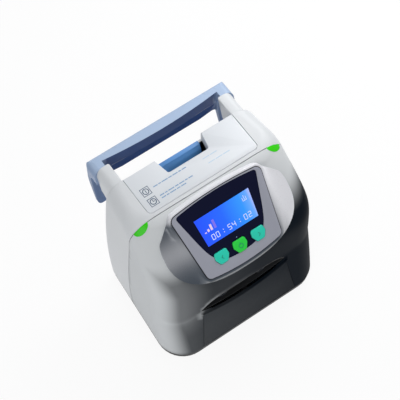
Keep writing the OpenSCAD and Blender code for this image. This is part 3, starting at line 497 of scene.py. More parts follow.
def housing_solid(inset, top, step, detail, low):
    levels = [z for z in housing_levels(step) if low < z < top]
    levels = [low] + levels + [top]
    return loft([[place(x, y, z) for x, y in housing_ring(z, inset, detail)] for z in levels])


def block(low, high):
    """A plain cutter box between two corners."""
    bm = bmesh.new()
    bmesh.ops.create_cube(bm, size=1.0)
    bmesh.ops.scale(bm, vec=(Vector(high) - Vector(low)) * MM, verts=bm.verts)
    bmesh.ops.translate(bm, vec=(Vector(low) + Vector(high)) / 2 * MM, verts=bm.verts)
    return bm


joint_gap = 0.8
reach = 300.0


def joint_cutter(side):
    """Everything on one side of the leaning joint between the two housings."""
    bm = block((-reach, 0, -reach), (reach, reach, reach))
    shift = -joint_gap / 2 if side > 0 else joint_gap / 2 - reach
    bmesh.ops.translate(bm, vec=(0, shift * MM, 0), verts=bm.verts)
    bmesh.ops.rotate(bm, matrix=Matrix.Rotation(seam_lean, 3, "X"), verts=bm.verts)
    bmesh.ops.translate(bm, vec=(0, seam_y * MM, body_h * MM), verts=bm.verts)
    return bm


slot_half = 53.0
slot_h = 20.0
slot_rise = 8.0
slot_end = 2.0
slot_lip = 2.4
slot_z = skirt_h - 7
slot_back = face_y + 10.0


def slot_low(x):
    """Lower edge of the slot over its lowest point; slot_high gives the upper edge."""
    return slot_rise * (x / slot_half) ** 2


def slot_high(x):
    return slot_h - (slot_h - slot_rise - slot_end) * (abs(x) / slot_half) ** 6


def slot_outline(grow, steps=28):
    half = slot_half + grow
    across = [half * math.sin(math.pi * (i / steps - 0.5)) for i in range(steps + 1)]
    scale = slot_half / half
    upper = [(x, slot_z + slot_high(x * scale) + grow) for x in across]
    lower = [(x, slot_z + slot_low(x * scale) - grow) for x in reversed(across)]
    return lower[::-1] + upper[::-1]


def slot_cutter():
    """The slot, with a rounded lip where it meets the face."""
    levels = [(slot_back, 0.0), (face_y + slot_lip, 0.0)]
    for a in quarter_turn(6)[1:]:
        levels.append((face_y + slot_lip - slot_lip * math.sin(a), slot_lip * (1 - math.cos(a))))
    levels.append((face_y - 16, slot_lip * 1.2))
    return loft([[place(x, depth, z) for x, z in slot_outline(grow)] for depth, grow in levels])


skirt_tilt = math.atan(skirt_lean / (skirt_h - shell_z))
panel_flare = 7.0
panel_foot = 2.0
panel_depth = 1.6
panel_gap = 0.4


def on_skirt(x, up, out):
    """A point of the leaning skirt: x across, up the skirt, out of it."""
    tilt = Matrix.Rotation(QUARTER - skirt_tilt, 3, "X")
    return (Vector((0, front_y, shell_z)) + tilt @ Vector((x, up, out))) * MM


def panel_outline(grow):
    steps = 24
    foot = slot_half + panel_flare
    across = [slot_half * math.sin(math.pi * (0.5 - i / steps)) for i in range(steps + 1)]
    rise = slot_z - shell_z - panel_foot
    crest = [(x * (1 + grow / slot_half), rise + slot_low(x) + grow) for x in across]
    return [(-foot - grow, panel_foot - grow), (foot + grow, panel_foot - grow)] + crest


def housing():
    """Front and rear mouldings, cut from one smooth form."""
    def shell():
        outer = housing_solid(0.0, body_h, 1, 6, shell_z)
        inner = housing_solid(wall, body_h - wall - 2, 4, 3, shell_z - 2)
        return combine(outer, [inner], "DIFFERENCE")

    bezel_hole = prism(bezel_outline(-bezel_seat), -40, 30, on_panel)
    recess = prism(panel_outline(panel_gap), -panel_depth, 12, on_skirt)
    front = combine(shell(), [joint_cutter(1), slot_cutter(), recess, bezel_hole], "DIFFERENCE")
    front = piece(front, "front_moulding", front_painted_light_and_shade, ["front_housing"])

    def painted_light_share(co, normal):
        """Painted light on the left corner and the top, a painted highlight on the slot's left lip and
        along the shoulder ridge, painted shade elsewhere.
        """
        left = ramp(0.08, 0.94, -normal.x) * (1 - 0.8 * ramp(-20, 20, co.x))
        if co.z < 95:
            left *= ramp(-60.5, -62, co.x)
        across = 0.26 * ramp(-35, -80, co.x) * (0.4 + 0.6 * ramp(35, 76, co.z))
        across += 0.04 * ramp(25, -30, co.x)
        ridge_highlight = 0.09 * math.exp(-((co.z - 69) / 3) ** 2) * ramp(-52, -60, co.x)
        top = ramp(130, 156, co.z - 0.05 * (co.x + 70))
        near = ramp(9, 3, abs(co.z - slot_z - slot_high(co.x))) * (abs(co.x) < slot_half + 4)
        lip = near * (0.12 * ramp(25, -15, co.x) + 0.4 * ramp(-22, -46, co.x))
        return min(1.0, max(left, top, lip, across) + ridge_highlight)

    store_painted_light_and_shade(front, painted_light_share)

    arms = [arm_solid(side) for side in (-1, 1)]
    rear = combine(shell(), [joint_cutter(-1)], "DIFFERENCE")
    rear = combine(rear, [pocket_solid()] + arms, "UNION")
    cutters = pocket_cutters() + [notch_cutter(), cover_cutter()] + vent_cutters()
    rear = combine(rear, cutters, "DIFFERENCE")
    rear = piece(rear, "rear_moulding", shell_abs, ["rear_housing"])
    # Black ABS on the pocket's inner faces under the notch is painted shade
    rear.data.materials.append(black_abs)
    near = 0.1
    for face in rear.data.polygons:
        x, y, z = face.center / MM
        deep = z < body_h - notch_lip - near or y < back_y - notch_d - near
        inside = abs(x) < notch_half + near and -pocket_d - near < y - back_y + wall < near
        if inside and deep and body_h - notch_drop - near < z < body_h - wall - cover_t:
            face.material_index = 1


# ---- top: notch, cover, arms

notch_half = 28.0
notch_inner = 25.0
notch_d = 19.0
notch_drop = 30.0
pocket_d = notch_d + 8
notch_lip = 12.0
notch_r = 3.0
cover_half = 66.0
cover_front = seam_y + 4.5
cover_t = 2.0
cover_r = 5.0


def pocket_solid():
    """The pocket's outer box, joined to the rear moulding before the pocket is cut."""
    grow = 2.0
    low = (-notch_half - grow, back_y - wall - pocket_d - grow, body_h - notch_drop - grow)
    return block(low, (notch_half + grow, back_y - wall + 0.5, body_h - wall - cover_t + 0.5))


def pocket_cutters():
    """The pocket: full width below the notch's side walls, and under the cover behind the notch."""
    low = (-notch_half, back_y - wall - pocket_d, body_h - notch_drop)
    under = (-notch_half, low[1], body_h - notch_lip)
    return [block(low, (notch_half, back_y - wall, body_h - notch_lip)),
            block(under, (notch_half, back_y - notch_d, body_h - wall - cover_t))]


def two_corners(half, front, corner, steps, grow=0.0):
    """The round front corners of a plan, left and then right."""
    x, y, r = half - corner, front + corner, corner + grow
    left = arc(-x, y, r, 2 * QUARTER, 3 * QUARTER, steps)
    return left + arc(x, y, r, 3 * QUARTER, 4 * QUARTER, steps)


def notch_outline():
    return ([(-notch_half, back_y + 1), (-notch_half, back_y - 1)]
            + two_corners(notch_inner, back_y - notch_d, notch_r, 6)
            + [(notch_half, back_y - 1), (notch_half, back_y + 1)])


def notch_cutter():
    return prism(notch_outline(), body_h - notch_lip, body_h + notch_lip)


def cover_outline(grow):
    return (two_corners(cover_half, cover_front, cover_r, 8, grow)
            + [(cover_half + grow, back_y + grow), (-cover_half - grow, back_y + grow)])


def cover_cutter():
    return prism(cover_outline(0.4), body_h - cover_t - 0.1, body_h + cover_t)


def cover():
    plate = prism(cover_outline(0.0), body_h - cover_t, body_h)
    plate = combine(plate, [notch_cutter()], "DIFFERENCE")
    rim = [e for e in sharp_edges(plate, 40)
           if all(v.co.z > (body_h - 0.1) * MM for v in e.verts)]
    round_edges(plate, rim, 0.7)
    piece(plate, "cover_plate", cover_abs, ["top_cover"])


hook_half = 85.0
arm_half = hook_half - 2.5
arm_w = 16.5
arm_in = arm_half - arm_w
arm_root = 38.0
arm_tip = 26.0
arm_round = 9.0
arm_slant = 9.0
arm_top = body_h - 2.5
arm_end = back_y + 25.0


def arm_solid(side):
    """One of the two arms behind the top corners."""
    inner_y = back_y - wall
    tip_y, tip_z = arm_end - arm_slant, arm_top - arm_tip
    profile = [(inner_y, arm_top), (inner_y, arm_top - arm_root), (tip_y - 6, tip_z - 3),
               (tip_y, tip_z), (arm_end, arm_top)]
    x0, x1 = sorted((side * arm_in, side * arm_half))
    bm = prism(profile, x0, x1, from_side)

    def along(x):
        return [e for e in bm.edges if all(abs(abs(v.co.x) - x * MM) < 1e-6 for v in e.verts)]

    top = [e for e in along(arm_half) if all(abs(v.co.z - arm_top * MM) < 1e-6 for v in e.verts)]
    round_edges(bm, top, arm_round, 8)
    inner = [e for e in along(arm_in) if e in sharp_edges(bm, 40)]
    inner = [e for e in inner if any(v.co.y > (back_y + 0.5) * MM for v in e.verts)]
    round_edges(bm, inner, 1.8, 4)
    return bm


vent_count = 8
vent_half = 1.3
vent_rim = 5.0
inlet_rim = 2.9


def vent_cutters():
    """Slots in front of the fan, and the hole of the mains inlet."""
    low, high = node_box("fan_frame")
    fan_half = (high[0] - low[0]) / 2
    fan_x = (low[0] + high[0]) / 2
    fan_z = (low[2] + high[2]) / 2
    half = fan_half - vent_rim
    pitch = 2 * fan_half / (vent_count + 1)
    inside, outside = back_y - wall - 1, back_y + 1
    holes = []
    for i in range(1, vent_count + 1):
        z = fan_z - fan_half + i * pitch
        holes.append(block((fan_x - half, inside, z - vent_half),
                           (fan_x + half, outside, z + vent_half)))
    low, high = node_box("mains_inlet")
    holes.append(block((low[0] + inlet_rim, inside, low[2] + inlet_rim),
                       (high[0] - inlet_rim, outside, high[2] - inlet_rim)))
    return holes


# ---- display face


def round_outline(points, corner, grow):
    """Round each strong corner of a clockwise outline, then grow it."""
    made = []
    count = len(points)
    steps = 10
    for i in range(count):
        before, here, after = (Vector(points[(i + k) % count]) for k in (-1, 0, 1))
        u = (before - here).normalized()
        v = (after - here).normalized()
        bend = math.acos(max(-1.0, min(1.0, -u.dot(v))))
        if bend < math.radians(25):
            made.append(here)
            continue
        back = corner * math.tan(bend / 2)
        middle = here + (u + v).normalized() * corner / math.cos(bend / 2)
        start = here + u * back
        end = here + v * back
        a0 = math.atan2(start.y - middle.y, start.x - middle.x)
        a1 = math.atan2(end.y - middle.y, end.x - middle.x)
        turn = (a1 - a0 + math.pi) % (2 * math.pi) - math.pi
        for k in range(steps + 1):
            a = a0 + turn * k / steps
            made.append(middle + Vector((math.cos(a), math.sin(a))) * corner)
    clean = []
    for p in made:
        if not clean or (p - clean[-1]).length > 0.05:
            clean.append(p)
    return grow_outline(clean, grow)


def grow_outline(points, grow):
    """The outline, moved outwards and running anticlockwise."""
    count = len(points)
    grown = []
    area = sum(points[i].x * points[(i + 1) % count].y - points[(i + 1) % count].x * points[i].y
               for i in range(count))
    sign = -1 if area > 0 else 1
    for i in range(count):
        along = (points[(i + 1) % count] - points[i - 1]).normalized()
        out = Vector((-along.y, along.x)) * sign
        grown.append(tuple(points[i] + out * grow))
    return grown[::-1] if area < 0 else grown


bezel_half = 54.0
bezel_low_half = 45.0
bezel_top = 1.0
bezel_foot = 74.0
bezel_bow = 3.5
bezel_low_bow = 4.5
bezel_corner = 6.0
bezel_seat = 4.0


def bezel_outline(grow):
    """A trapezoid, bowed along its top and bottom, with round corners."""
    steps = 16
    across = [2 * i / steps - 1 for i in range(steps + 1)]
    points = [(bezel_half * s, bezel_top + bezel_bow * (1 - s ** 2)) for s in across]
    points += [(-bezel_low_half * s, -bezel_foot - bezel_low_bow * (1 - s ** 2)) for s in across]
    return round_outline(points, bezel_corner, grow)


window_half = 48.5
window_taper = 0.27
window_len = 67.0
window_crest = 3.8
window_corner = 3.0


def window_outline(grow):
    steps = 28
    down = [window_len * (1 - (1 - i / steps) ** 2) for i in range(steps + 1)]
    half = [(window_half - window_taper * s) * max(0.0, 1 - (s / window_len) ** 8) ** (1 / 3)
            for s in down]
    right = [(x, -s) for x, s in zip(half, down)]
    left = [(-x, -s) for x, s in list(zip(half, down))[-2::-1]]
    across = [-window_half + window_half * i / 8 for i in range(1, 16)]
    crest = [(x, window_crest * (1 - (x / window_half) ** 2)) for x in across]
    return round_outline(right + left + crest, window_corner, grow)


key_half = 7.75
key_long = 6.75
key_taper = 3.4
key_corner = 2.4
key_gap = 0.35
key_pitch = 22.3
key_drop = 60.5
key_spots = {"button_left": -key_pitch, "button_power": 0.0, "button_right": key_pitch}


def key_outline(x, grow):
    """A key: broad at the top, narrow at the foot."""
    top, waist, foot = key_half - 0.6, key_half + 0.4, key_half - key_taper
    points = [(-top, key_long), (top, key_long), (waist, 0), (foot, -key_long), (-foot, -key_long),
              (-waist, 0)]
    return [(px + x, py - key_drop) for px, py in round_outline(points, key_corner, grow)]


def through(outline):
    """A cutter that goes right through the display face."""
    return prism(outline, -9, 9, on_panel)


def key_holes():
    return [through(key_outline(x, key_gap)) for x in key_spots.values()]


pod_half = 75.0
pod_len = 98.0
pod_mid = 33.0
pod_top = 2.0
pod_power = 2.5
pod_lift = 3.0
pod_cut = 7.0
pod_fall = 4.5
pod_scoop = 1.6
pod_rim = 2.2


def egg_reach(angle):
    """Distance from the pod's middle to the egg shape of its edge."""
    c, s = abs(math.cos(angle)), abs(math.sin(angle))
    return 1 / ((c / pod_half) ** pod_power + (s / (pod_len / 2)) ** pod_power) ** (1 / pod_power)


def ray_reach(outline, middle, angle):
    """Distance from a middle point to an outline, along one direction."""
    d = Vector((math.cos(angle), math.sin(angle)))
    best = 0.0
    count = len(outline)
    for i in range(count):
        a = Vector(outline[i]) - middle
        b = Vector(outline[(i + 1) % count]) - middle
        e = b - a
        cross = d.x * e.y - d.y * e.x
        if abs(cross) < 1e-9:
            continue
        t = (a.x * e.y - a.y * e.x) / cross
        u = (a.x * d.y - a.y * d.x) / cross
        if t > 0 and -1e-6 <= u <= 1 + 1e-6:
            best = max(best, t)
    return best


def pod():
    """The pod: a scooped ring that falls from the bezel's groove to its egg-shaped edge."""
    middle = Vector((0, -pod_mid - pod_lift))
    steps = 192
    groove = bezel_outline(seal_w)
    rim = bezel_outline(seal_w + pod_rim)
    rings = []

    def ring(shape):
        made = []
        for i in range(steps):
            a = 2 * math.pi * i / steps
            far, out = shape(a)
            made.append(on_panel(middle.x + far * math.cos(a), middle.y + far * math.sin(a), out))
        rings.append(made)

    corner_x = pod_half * (1 - ((pod_top + pod_mid) / (pod_len / 2)) ** pod_power) ** (1 / pod_power)

    def edge(a):
        """The egg, with a flat top and with cut corners where the two meet."""
        x, y = math.cos(a), math.sin(a)
        far = egg_reach(a)
        if middle.y + far * y + pod_lift > pod_top:
            far = (pod_top - middle.y) / y
        if abs(x) + y > 0.2:
            far = min(far, (corner_x + pod_top - middle.y - pod_cut) / (abs(x) + y))
        return far

    # From the seat under the bezel, up the groove, to the rim: outline, height, step back
    deck = -1.9
    for outline, out, back in [(bezel_outline(-bezel_seat), deck, 0), (groove, deck, 0),
                               (groove, -0.6, 0), (bezel_outline(seal_w + 0.15), -0.2, 0),
                               (bezel_outline(seal_w + 0.55), 0, 0), (rim, 0, 0.5)]:
        ring(lambda a: (ray_reach(outline, middle, a) - back, out))
    scoop_steps = 14
    for t in [k / scoop_steps for k in range(1, scoop_steps + 1)]:

        def scoop(a):
            near = ray_reach(rim, middle, a)
            width = max(edge(a), near + 0.3) - near
            sag = pod_fall * t + pod_scoop * min(1.0, width / 14) * math.sin(math.pi * t)
            return near + width * t, -sag

        ring(scoop)
    # Down the outer wall and into the deck
    for drop, grow in [(5.2, 0.15), (7.0, 0.3), (16.0, 0.3)]:
        ring(lambda a: (max(edge(a), ray_reach(rim, middle, a) + 0.3) + grow, -drop))
    bm = loft(rings, close=False)
    bmesh.ops.bridge_loops(bm, edges=[e for e in bm.edges if len(e.link_faces) == 1])
    bmesh.ops.recalc_face_normals(bm, faces=bm.faces)
    obj = piece(bm, "pod_ring", pod_lacquer_painted_light, ["display_pod"], smooth=50)

    def painted_light_share(co, normal):
        """Painted light on the right and along the crest, with a painted glint at the left, and painted
        shade elsewhere.
        """
        up = (co.y - panel_origin.y) * math.cos(panel_tilt)
        up += (co.z - panel_origin.z) * math.sin(panel_tilt)
        right = ramp(30, 60, co.x + 0.25 * (co.y + 45))
        glint = 0.38 * math.exp(-((up + 34) / 17) ** 2) * ramp(-10, -40, co.x)
        crest = ramp(-6, 0, up) * (0.3 + 0.7 * ramp(-62, -48, co.x))
        return max(right, crest, glint)

    store_painted_light_and_shade(obj, painted_light_share)


def bezel():
    plate = prism(bezel_outline(0.0), bezel_proud - bezel_t, bezel_proud, on_panel)
    holes = [through(window_outline(0.1))] + key_holes()
    plate = combine(plate, holes, "DIFFERENCE")
    face = (on_panel(0, 0, bezel_proud) - on_panel(0, 0, 0)).normalized()
    level = on_panel(0, 0, bezel_proud).dot(face)
    rim = [e for e in sharp_edges(plate, 40)
           if all(abs(v.co.dot(face) - level) < 1e-5 for v in e.verts)]
    round_edges(plate, rim, 0.45)
    piece(plate, "bezel_plate", bezel_abs, ["display_bezel"])


window_top = bezel_proud - 0.3


def screen_outline(grow):
    narrow = 2.6
    up = screen_half_h + grow
    top = screen_half_w + grow
    low = screen_half_w - narrow + grow
    return [(-low, screen_mid - up), (low, screen_mid - up), (top, screen_mid + up),
            (-top, screen_mid + up)]


def window():
    pane = prism(window_outline(0.0), window_top - 1.6, window_top, on_panel)
    holes = key_holes() + [through(screen_outline(0.0))]
    pane = combine(pane, holes, "DIFFERENCE")
    piece(pane, "window_pane", window_acrylic, ["display_window"])
    glass = prism(screen_outline(-0.02), window_top - 2.6, window_top - 0.12, on_panel)
    piece(glass, "screen_glass", screen_glow, ["lcd_module"])
    display_marks()


segments_of = {"0": "abcdef", "2": "abged", "4": "fgbc", "5": "afgcd"}


def digit_bars(figure, x, up, wide, tall):
    """The lit bars of one figure of the clock."""
    thick = 0.75
    side, long, near = wide / 2, tall / 2, tall / 4
    bars = {
        "a": (x, up + long, wide, thick), "d": (x, up - long, wide, thick), "g": (x, up, wide, thick),
        "f": (x - side, up + near, thick, long), "b": (x + side, up + near, thick, long),
        "e": (x - side, up - near, thick, long), "c": (x + side, up - near, thick, long),
    }
    return [bars[s] for s in segments_of[figure]]


def screen_marks(name, finish, rects):
    """Lit bars just under the screen's surface, each by its middle, width and height."""
    low, high = window_top - 0.2, window_top - 0.04
    piece(join(prism(rectangle(*rect), low, high, on_panel) for rect in rects), name, finish)


def display_marks():
    """A clock along the foot of the screen, a rising bar graph and a small lamp sign."""
    clock = []
    foot = screen_mid - screen_half_h + 6.2
    for text, x in (("00", -18.5), ("54", 1.0), ("02", 20.5)):
        for k, figure in enumerate(text):
            clock += digit_bars(figure, x + (k - 0.5) * 5.2, foot, 3.1, 5.4)
    for x in (-8.8, 10.8):
        clock += [(x, foot + 1.4, 0.9, 0.9), (x, foot - 1.4, 0.9, 0.9)]
    lamp = foot + 17.5
    clock += [(22.5, lamp, 0.6, 3.4), (24.5, lamp + 0.9, 0.6, 5.2), (26.5, lamp + 0.1, 0.6, 3.6),
              (24.5, lamp - 2.1, 4.6, 0.6)]
    screen_marks("clock_marks", digit_glow, clock)
    base = foot + 7.2
    screen_marks("level_marks", pink_glow,
                 [(x, base + tall / 2, wide, tall)
                  for x, wide, tall in [(-26.5, 2.0, 1.2), (-23.0, 2.2, 3.0), (-19.2, 2.4, 6.4)]])
    screen_marks("level_mark_high", violet_glow, [(-15.0, base + 4.6, 2.6, 9.2)])


def key_sign(node, x, cap):
    """A ring with a stroke on the middle key, a chevron on the outer ones."""
    def on_key(points):
        return prism([(x + px, py - key_drop) for px, py in points], cap - 0.5, cap + 0.01, on_panel)

    if node == "button_power":
        start, end = math.radians(115), math.radians(425)
        ring = arc(0, 0, 2.6, start, end, 20) + arc(0, 0, 2.0, end, start, 20)
        stroke = [(-0.3, 0.6), (0.3, 0.6), (0.3, 3.4), (-0.3, 3.4)]
        return combine(on_key(ring), [on_key(stroke)], "UNION")
    side = 1 if x > 0 else -1
    chevron = [(-1.0, 2.0), (-0.3, 2.0), (1.4, 0.0), (-0.3, -2.0), (-1.0, -2.0), (0.7, 0.0)]
    return on_key([(side * px, py) for px, py in chevron])


def keys():
    """Crowned caps on their own slides, a sign on each, and the lamp above the middle key."""
    looks = {"button_left": (teal_key, "key_teal"), "button_power": (green_key, "key_green"),
             "button_right": (teal_key, "key_teal")}
    cap = window_top + 1.8
    side_top = cap - 1.5
    edge = 1.2
    for node, x in key_spots.items():
        levels = [(-5.35, 0.0), (side_top, 0.0)]
        for a in quarter_turn(6)[1:]:
            levels.append((side_top + math.sin(a), -edge * (1 - math.cos(a))))
        rings = [[on_panel(px, py, out) for px, py in key_outline(x, grow)] for out, grow in levels]
        for share in (0.66, 0.33):
            middle = Vector((x, -key_drop))
            ring = [middle + (Vector(p) - middle) * share for p in key_outline(x, -edge)]
            rings.append([on_panel(p.x, p.y, cap - 0.5 + 0.45 * (1 - share ** 2)) for p in ring])
        finish, slot = looks[node]
        piece(loft(rings), node + "_cap", finish, [node], body=node, smooth=50)
        piece(key_sign(node, x, cap), node + "_sign", key_ink, body=node)
    dot = bmesh.new()
    bmesh.ops.create_uvsphere(dot, u_segments=16, v_segments=8, radius=0.55 * MM)
    bmesh.ops.scale(dot, vec=(1, 1, 0.4), verts=dot.verts)
    bmesh.ops.rotate(dot, matrix=Matrix.Rotation(panel_tilt, 3, "X"), verts=dot.verts)
    bmesh.ops.translate(dot, vec=on_panel(0, -51, window_top), verts=dot.verts)
    piece(dot, "power_dot", ink_light)


tab_x = cover_half + 14
tab_y = seam_y + 0.3
tab_half = 8
tab_d = 6.2


def tabs():
    """Green light pipes at both ends of the joint, domed with the shoulder."""
    lenses = []
    for side in (-1, 1):
        dome = housing_solid(-0.5, body_h + 0.4, 1, 6, body_h - 30)
        turns = [math.pi + math.pi * i / 24 for i in range(25)]
        outline = [(side * tab_x + tab_half * math.cos(a), tab_y + tab_d * math.sin(a)) for a in turns]
        lenses.append(combine(dome, [prism(outline, body_h - 28, body_h + 10)], "INTERSECT"))
    bm = join(lenses)
    round_edges(bm, sharp_edges(bm, 50), 0.4)
    piece(bm, "light_pipes", light_pipe, ["indicators"], smooth=50)


def lower_panel():
    """The panel under the slot, with a rounded edge, in its recess."""
    levels = [(-1.4, 0.0), (-0.1, 0.0), (0.25, -0.5)]
    bm = loft([[on_skirt(x, y, out) for x, y in panel_outline(grow)] for out, grow in levels])
    obj = piece(bm, "skirt_panel", panel_painted_shade, ["lower_panel"])
    # A faint painted light on the panel, lighter towards the left
    store_painted_light_and_shade(obj, lambda co, normal: 0.042 * (1 - co.x / 62))


def grip():
    """The blue scoop, with a lip over the back wall; its right edge slants inwards."""
    low, high = node_box("grip_insert")
    top, base, inner = high[2], low[2], low[1]
    back = back_y - wall - 0.1
    side = [(back, base), (back, top - 2), (back - 2, top), (back - 6, top - 2), (inner, base + 2),
            (inner, base)]
    plan = [(-24.4, back_y), (-22.0, inner - 1), (18.0, inner - 1), (24.4, back_y)]
    front = [(-28, base - 1), (14, base - 1), (23.6, top + 1), (-28, top + 1)]
    bm = prism(side, -27, 27, from_side)
    bm = combine(bm, [prism(plan, base - 2, top + 2)], "INTERSECT")
    bm = combine(bm, [prism(front, 0, back_y + 2, from_front)], "INTERSECT")
    lip = block((-24.2, back_y - wall - 2.5, top - 0.95), (23.4, back_y - 0.3, top + 0.1))
    bm = combine(bm, [lip], "UNION")
    round_edges(bm, sharp_edges(bm, 30), 0.5)
    piece(bm, "grip_scoop", grip_nylon, ["grip_insert"])


hook_top = arm_top - 1
rail_in = hook_y - 10
rail_bow = 4.0
rail_low = hook_top - 30
limb_in = hook_half - 14.5
crest_h = 9.0
limb_z = hook_top - crest_h
limb_low = hook_top - 61
block_low = hook_top - 16
limb_lean = 18.0
limb_tip = 3.0
limb_flare = 6.0
gusset = 8.0
cove = 5.0
crest_r = 6.0
tip_r = 5.0
head_r = 4.0
head_drop = 8.0


def outer_y(z):
    """Back of the hook: it leans in towards its tip."""
    return hook_y - limb_lean * ((limb_z - z) / (limb_z - limb_low)) ** 1.3


def limb_inner(z):
    return outer_y(z) - limb_tip - limb_flare * (z - limb_low) / (limb_z - limb_low)


def arm_end_at(z):
    return arm_end - arm_slant * (arm_top - z) / arm_tip


def hook_profile():
    """The hook from the side: crest, leaning back, limb, cove and the block against the arm."""
    crest = [(hook_y - crest_r + crest_r * math.sin(a), limb_z + crest_h * math.cos(a))
             for a in quarter_turn(8)]
    back = [(outer_y(z), z) for z in [limb_z + (limb_low - limb_z) * i / 28 for i in range(1, 29)]]
    cove_z = block_low - cove
    inner = [(limb_inner(z), z) for z in [limb_low + (cove_z - limb_low) * i / 14 for i in range(15)]]
    bend_y = limb_inner(cove_z) - cove
    bend = [(bend_y + cove * math.cos(a), cove_z + cove * math.sin(a)) for a in quarter_turn(6)[1:-1]]
    return ([(arm_end_at(hook_top) + 0.1, hook_top)] + crest + back + inner + bend
            + [(bend_y, block_low), (arm_end_at(block_low) + 0.1, block_low)])


def spandrel(cx, cz, r, turn, over=2.0):
    """What a rounded corner takes away: the corner square outside its arc."""
    points = arc(cx, cz, r, turn, turn + QUARTER, 10)
    u = Vector((math.cos(turn), math.sin(turn)))
    v = Vector((math.cos(turn + QUARTER), math.sin(turn + QUARTER)))
    middle = Vector((cx, cz))
    return points + [tuple(middle + v * (r + over)), tuple(middle + (u + v) * (r + over)),
                     tuple(middle + u * (r + over))]


def hook():
    """Rail and limbs, drawn from the side, then cut to their front and plan views."""
    def from_back(outline):
        return prism(outline, back_y, hook_y + 3, from_front)

    solid = prism(hook_profile(), -hook_half, hook_half, from_side)
    arch = [(limb_in, limb_low - 3)]
    arch += [(limb_in - gusset * (1 - math.sin(a)), rail_low - gusset * (1 - math.cos(a)))
             for a in quarter_turn(8)[::-1]]
    cutters = [from_back(arch + [(-x, z) for x, z in reversed(arch)])]
    wide = limb_in - 0.2
    bow = [(wide - 2 * wide * i / 24, rail_in - rail_bow * (1 - (1 - i / 12) ** 2)) for i in range(25)]
    bow = [(-wide, back_y), (wide, back_y)] + bow
    cutters.append(prism(bow, rail_low - gusset + 0.3, hook_top + 3))
    for side in (-1, 1):
        turn = 0 if side > 0 else QUARTER
        foot = -QUARTER if side > 0 else 2 * QUARTER
        top_x, tip_x, plan_x = [side * (hook_half - r) for r in (arm_round, tip_r, crest_r)]
        cutters.append(from_back(spandrel(top_x, hook_top - arm_round, arm_round, turn)))
        cutters.append(from_back(spandrel(tip_x, limb_low + tip_r, tip_r, foot)))
        plan = spandrel(plan_x, hook_y - crest_r, crest_r, turn)
        cutters.append(prism(plan, limb_low - 2, hook_top + 3))
    solid = combine(solid, cutters, "DIFFERENCE")
    round_edges(solid, sharp_edges(solid, 32), 1.2, 4)
    head_x = node_box("hook_screws")[1][0] - head_r
    seats = [circle(side * head_x, hook_top - head_drop, head_r + 0.1) for side in (-1, 1)]
    seats = [prism(seat, hook_y - 4, hook_y + 2, from_front) for seat in seats]
    solid = combine(solid, seats, "DIFFERENCE")
    # Level cuts give the painted shade its points
    for level in range(int(limb_low) + 3, int(hook_top), 3):
        bmesh.ops.bisect_plane(solid, geom=solid.verts[:] + solid.edges[:] + solid.faces[:],
                               plane_co=place(0, 0, level + 0.5), plane_no=(0, 0, 1))
    obj = piece(solid, "hook_moulding", hook_nylon_painted_shade, ["bed_hook"], smooth=40, weighted=True)

    def painted_shade_share(co, normal):
        """Painted shade: darkest inside the limbs, and darker downwards on the sides and the front."""
        low = 0.3 + 0.35 * ramp(hook_top - 4, hook_top - 45, co.z)
        low *= max(ramp(0.5, 0.9, abs(normal.x)), ramp(0.3, 0.8, -normal.y))
        inner = ramp(0.35, 0.95, -normal.y) * ramp(limb_in + 0.5, limb_in - 1.5, abs(co.x))
        return max(inner, low)

    store_painted_light_and_shade(obj, painted_shade_share, by_corner=True)


def ports():
    piece(cad_copy("hose_ports"), "port_collars", port_nylon, ["hose_ports"], smooth=30)


# ---- prints on the cover


def printed(outline, hole=None):
    """A flat print on the cover, with a hole where one is given."""
    mark = prism(outline, body_h, body_h + 0.06)
    if hole:
        mark = combine(mark, [prism(hole, body_h - 1, body_h + 1)], "DIFFERENCE")
    return mark


def strip(x, y, width, height):
    """A printed bar, by the middle of its left end."""
    return printed(rectangle(x + width / 2, y, width, height))


def prints():
    """Two plain signs and rules in place of the printed instructions."""
    sign_x = -54.8
    upper_y = back_y - 23.8
    lower_y = back_y - 37.1
    signs = []
    wide, thick, ring_r, ring_thick = 9.6, 0.6, 3.5, 0.85
    hole = wide - 2 * thick
    for y in (upper_y, lower_y):
        signs.append(printed(rectangle(sign_x, y, wide, wide), rectangle(sign_x, y, hole, hole)))
        signs.append(printed(circle(sign_x, y, ring_r), circle(sign_x, y, ring_r - ring_thick)))
    signs += [strip(sign_x - 0.35, upper_y, 0.7, 3.6), strip(sign_x - 0.3, lower_y + 1.0, 0.6, 2.4),
              strip(sign_x - 0.3, lower_y, 2.2, 0.6)]
    piece(join(signs), "cover_signs", ink_dark)
    rules = []
    words = [5, 3, 7, 4, 6, 3, 5]
    for y, count in ((upper_y, 7), (lower_y + 1.6, 7), (lower_y - 1.6, 5)):
        x = sign_x + 9.0
        for word in words[:count]:
            rules.append(strip(x, y, word, 1.1))
            x += word + 1.0
    piece(join(rules), "cover_rules", ink_light)
    faint = [strip(x, back_y - down, 8.0, 0.8)
             for x, down in [(12.0, 26.0), (21.0, 26.0), (14.0, 33.0), (23.0, 33.0), (32.0, 33.0)]]
    piece(join(faint), "cover_rules_faint", ink_faint)


# ---- scene


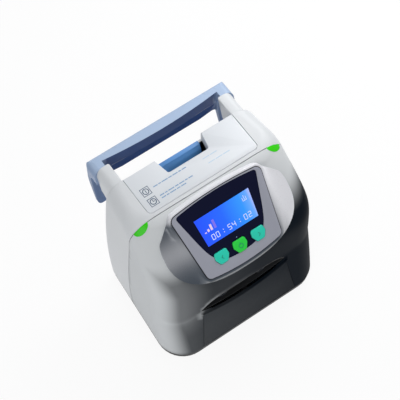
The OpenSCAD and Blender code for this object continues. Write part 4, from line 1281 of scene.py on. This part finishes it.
def stage():
    bpy.ops.mesh.primitive_plane_add(size=6.0, location=(0, 0, 0))
    floor = bpy.context.object
    floor.name = "floor"
    mat, tree, shader = surface("Pale studio floor", {"Base Color": srgb("#f6f6f7"), "Roughness": 0.8})
    # Seen straight on, or in metal and glass, the floor is mostly plain white; its shadow stays faint
    white = add(tree, "ShaderNodeEmission", {"Strength": 1.0})
    ray = add(tree, "ShaderNodeLightPath")
    seen = ray.outputs["Is Camera Ray"]
    for kind in ("Is Glossy Ray", "Is Transmission Ray"):
        seen = add(tree, "ShaderNodeMath", {}, {0: seen, 1: ray.outputs[kind]},
                   operation="MAXIMUM").outputs[0]
    share = add(tree, "ShaderNodeMath", {1: 0.9}, {0: seen}, operation="MULTIPLY")
    mix = add(tree, "ShaderNodeMixShader", {},
              {"Fac": share.outputs[0], 1: shader.outputs["BSDF"], 2: white.outputs["Emission"]})
    tree.links.new(mix.outputs["Shader"], tree.nodes["Material Output"].inputs["Surface"])
    floor.data.materials.append(mat)

    world = bpy.data.worlds.new("studio")
    bpy.context.scene.world = world
    world.use_nodes = True
    tree = world.node_tree
    back = tree.nodes["Background"]
    back.inputs["Color"].default_value = srgb("#f1f2f3")
    back.inputs["Strength"].default_value = 0.5

    def lamp(name, spot, aim, size, power, colour):
        light = bpy.data.lights.new(name, "AREA")
        light.size = size
        light.energy = power
        light.color = srgb(colour)[:3]
        obj = linked(name, light)
        obj.location = spot
        obj.rotation_euler = (Vector(aim) - Vector(spot)).to_track_quat("-Z", "Y").to_euler()

    lamp("key", (-1.0, -0.7, 1.0), (0, 0, 0.08), 0.9, 6.1, "#ffffff")
    lamp("right", (0.42, 0.2, 0.52), (0.05, 0, 0.17), 0.4, 2.2, "#fcfcfc")
    lamp("back", (0.3, 1.2, 1.3), (0, 0, 0.12), 0.8, 2.9, "#fcfcfc")


def camera():
    """The photograph's viewpoint, from its measured direction, distance and field."""
    azimuth = math.radians(-35.16)
    elevation = math.radians(62.29)
    distance = 1461.3
    aim = Vector((8.07, back_y - 27.05, 106.6))
    away = Vector((math.sin(azimuth) * math.cos(elevation), -math.cos(azimuth) * math.cos(elevation),
                   math.sin(elevation)))
    lens = bpy.data.cameras.new("view")
    lens.sensor_width = 36.0
    lens.lens = 126.0
    obj = linked("view", lens)
    obj.location = (aim + away * distance) * MM
    obj.rotation_euler = (-away).to_track_quat("-Z", "Y").to_euler()
    bpy.context.scene.camera = obj
    bpy.context.scene.view_settings.view_transform = "Standard"


for build in (camera, stage, housing, cover, pod, bezel, window, keys, tabs, lower_panel, grip, hook,
              ports, prints):
    build()
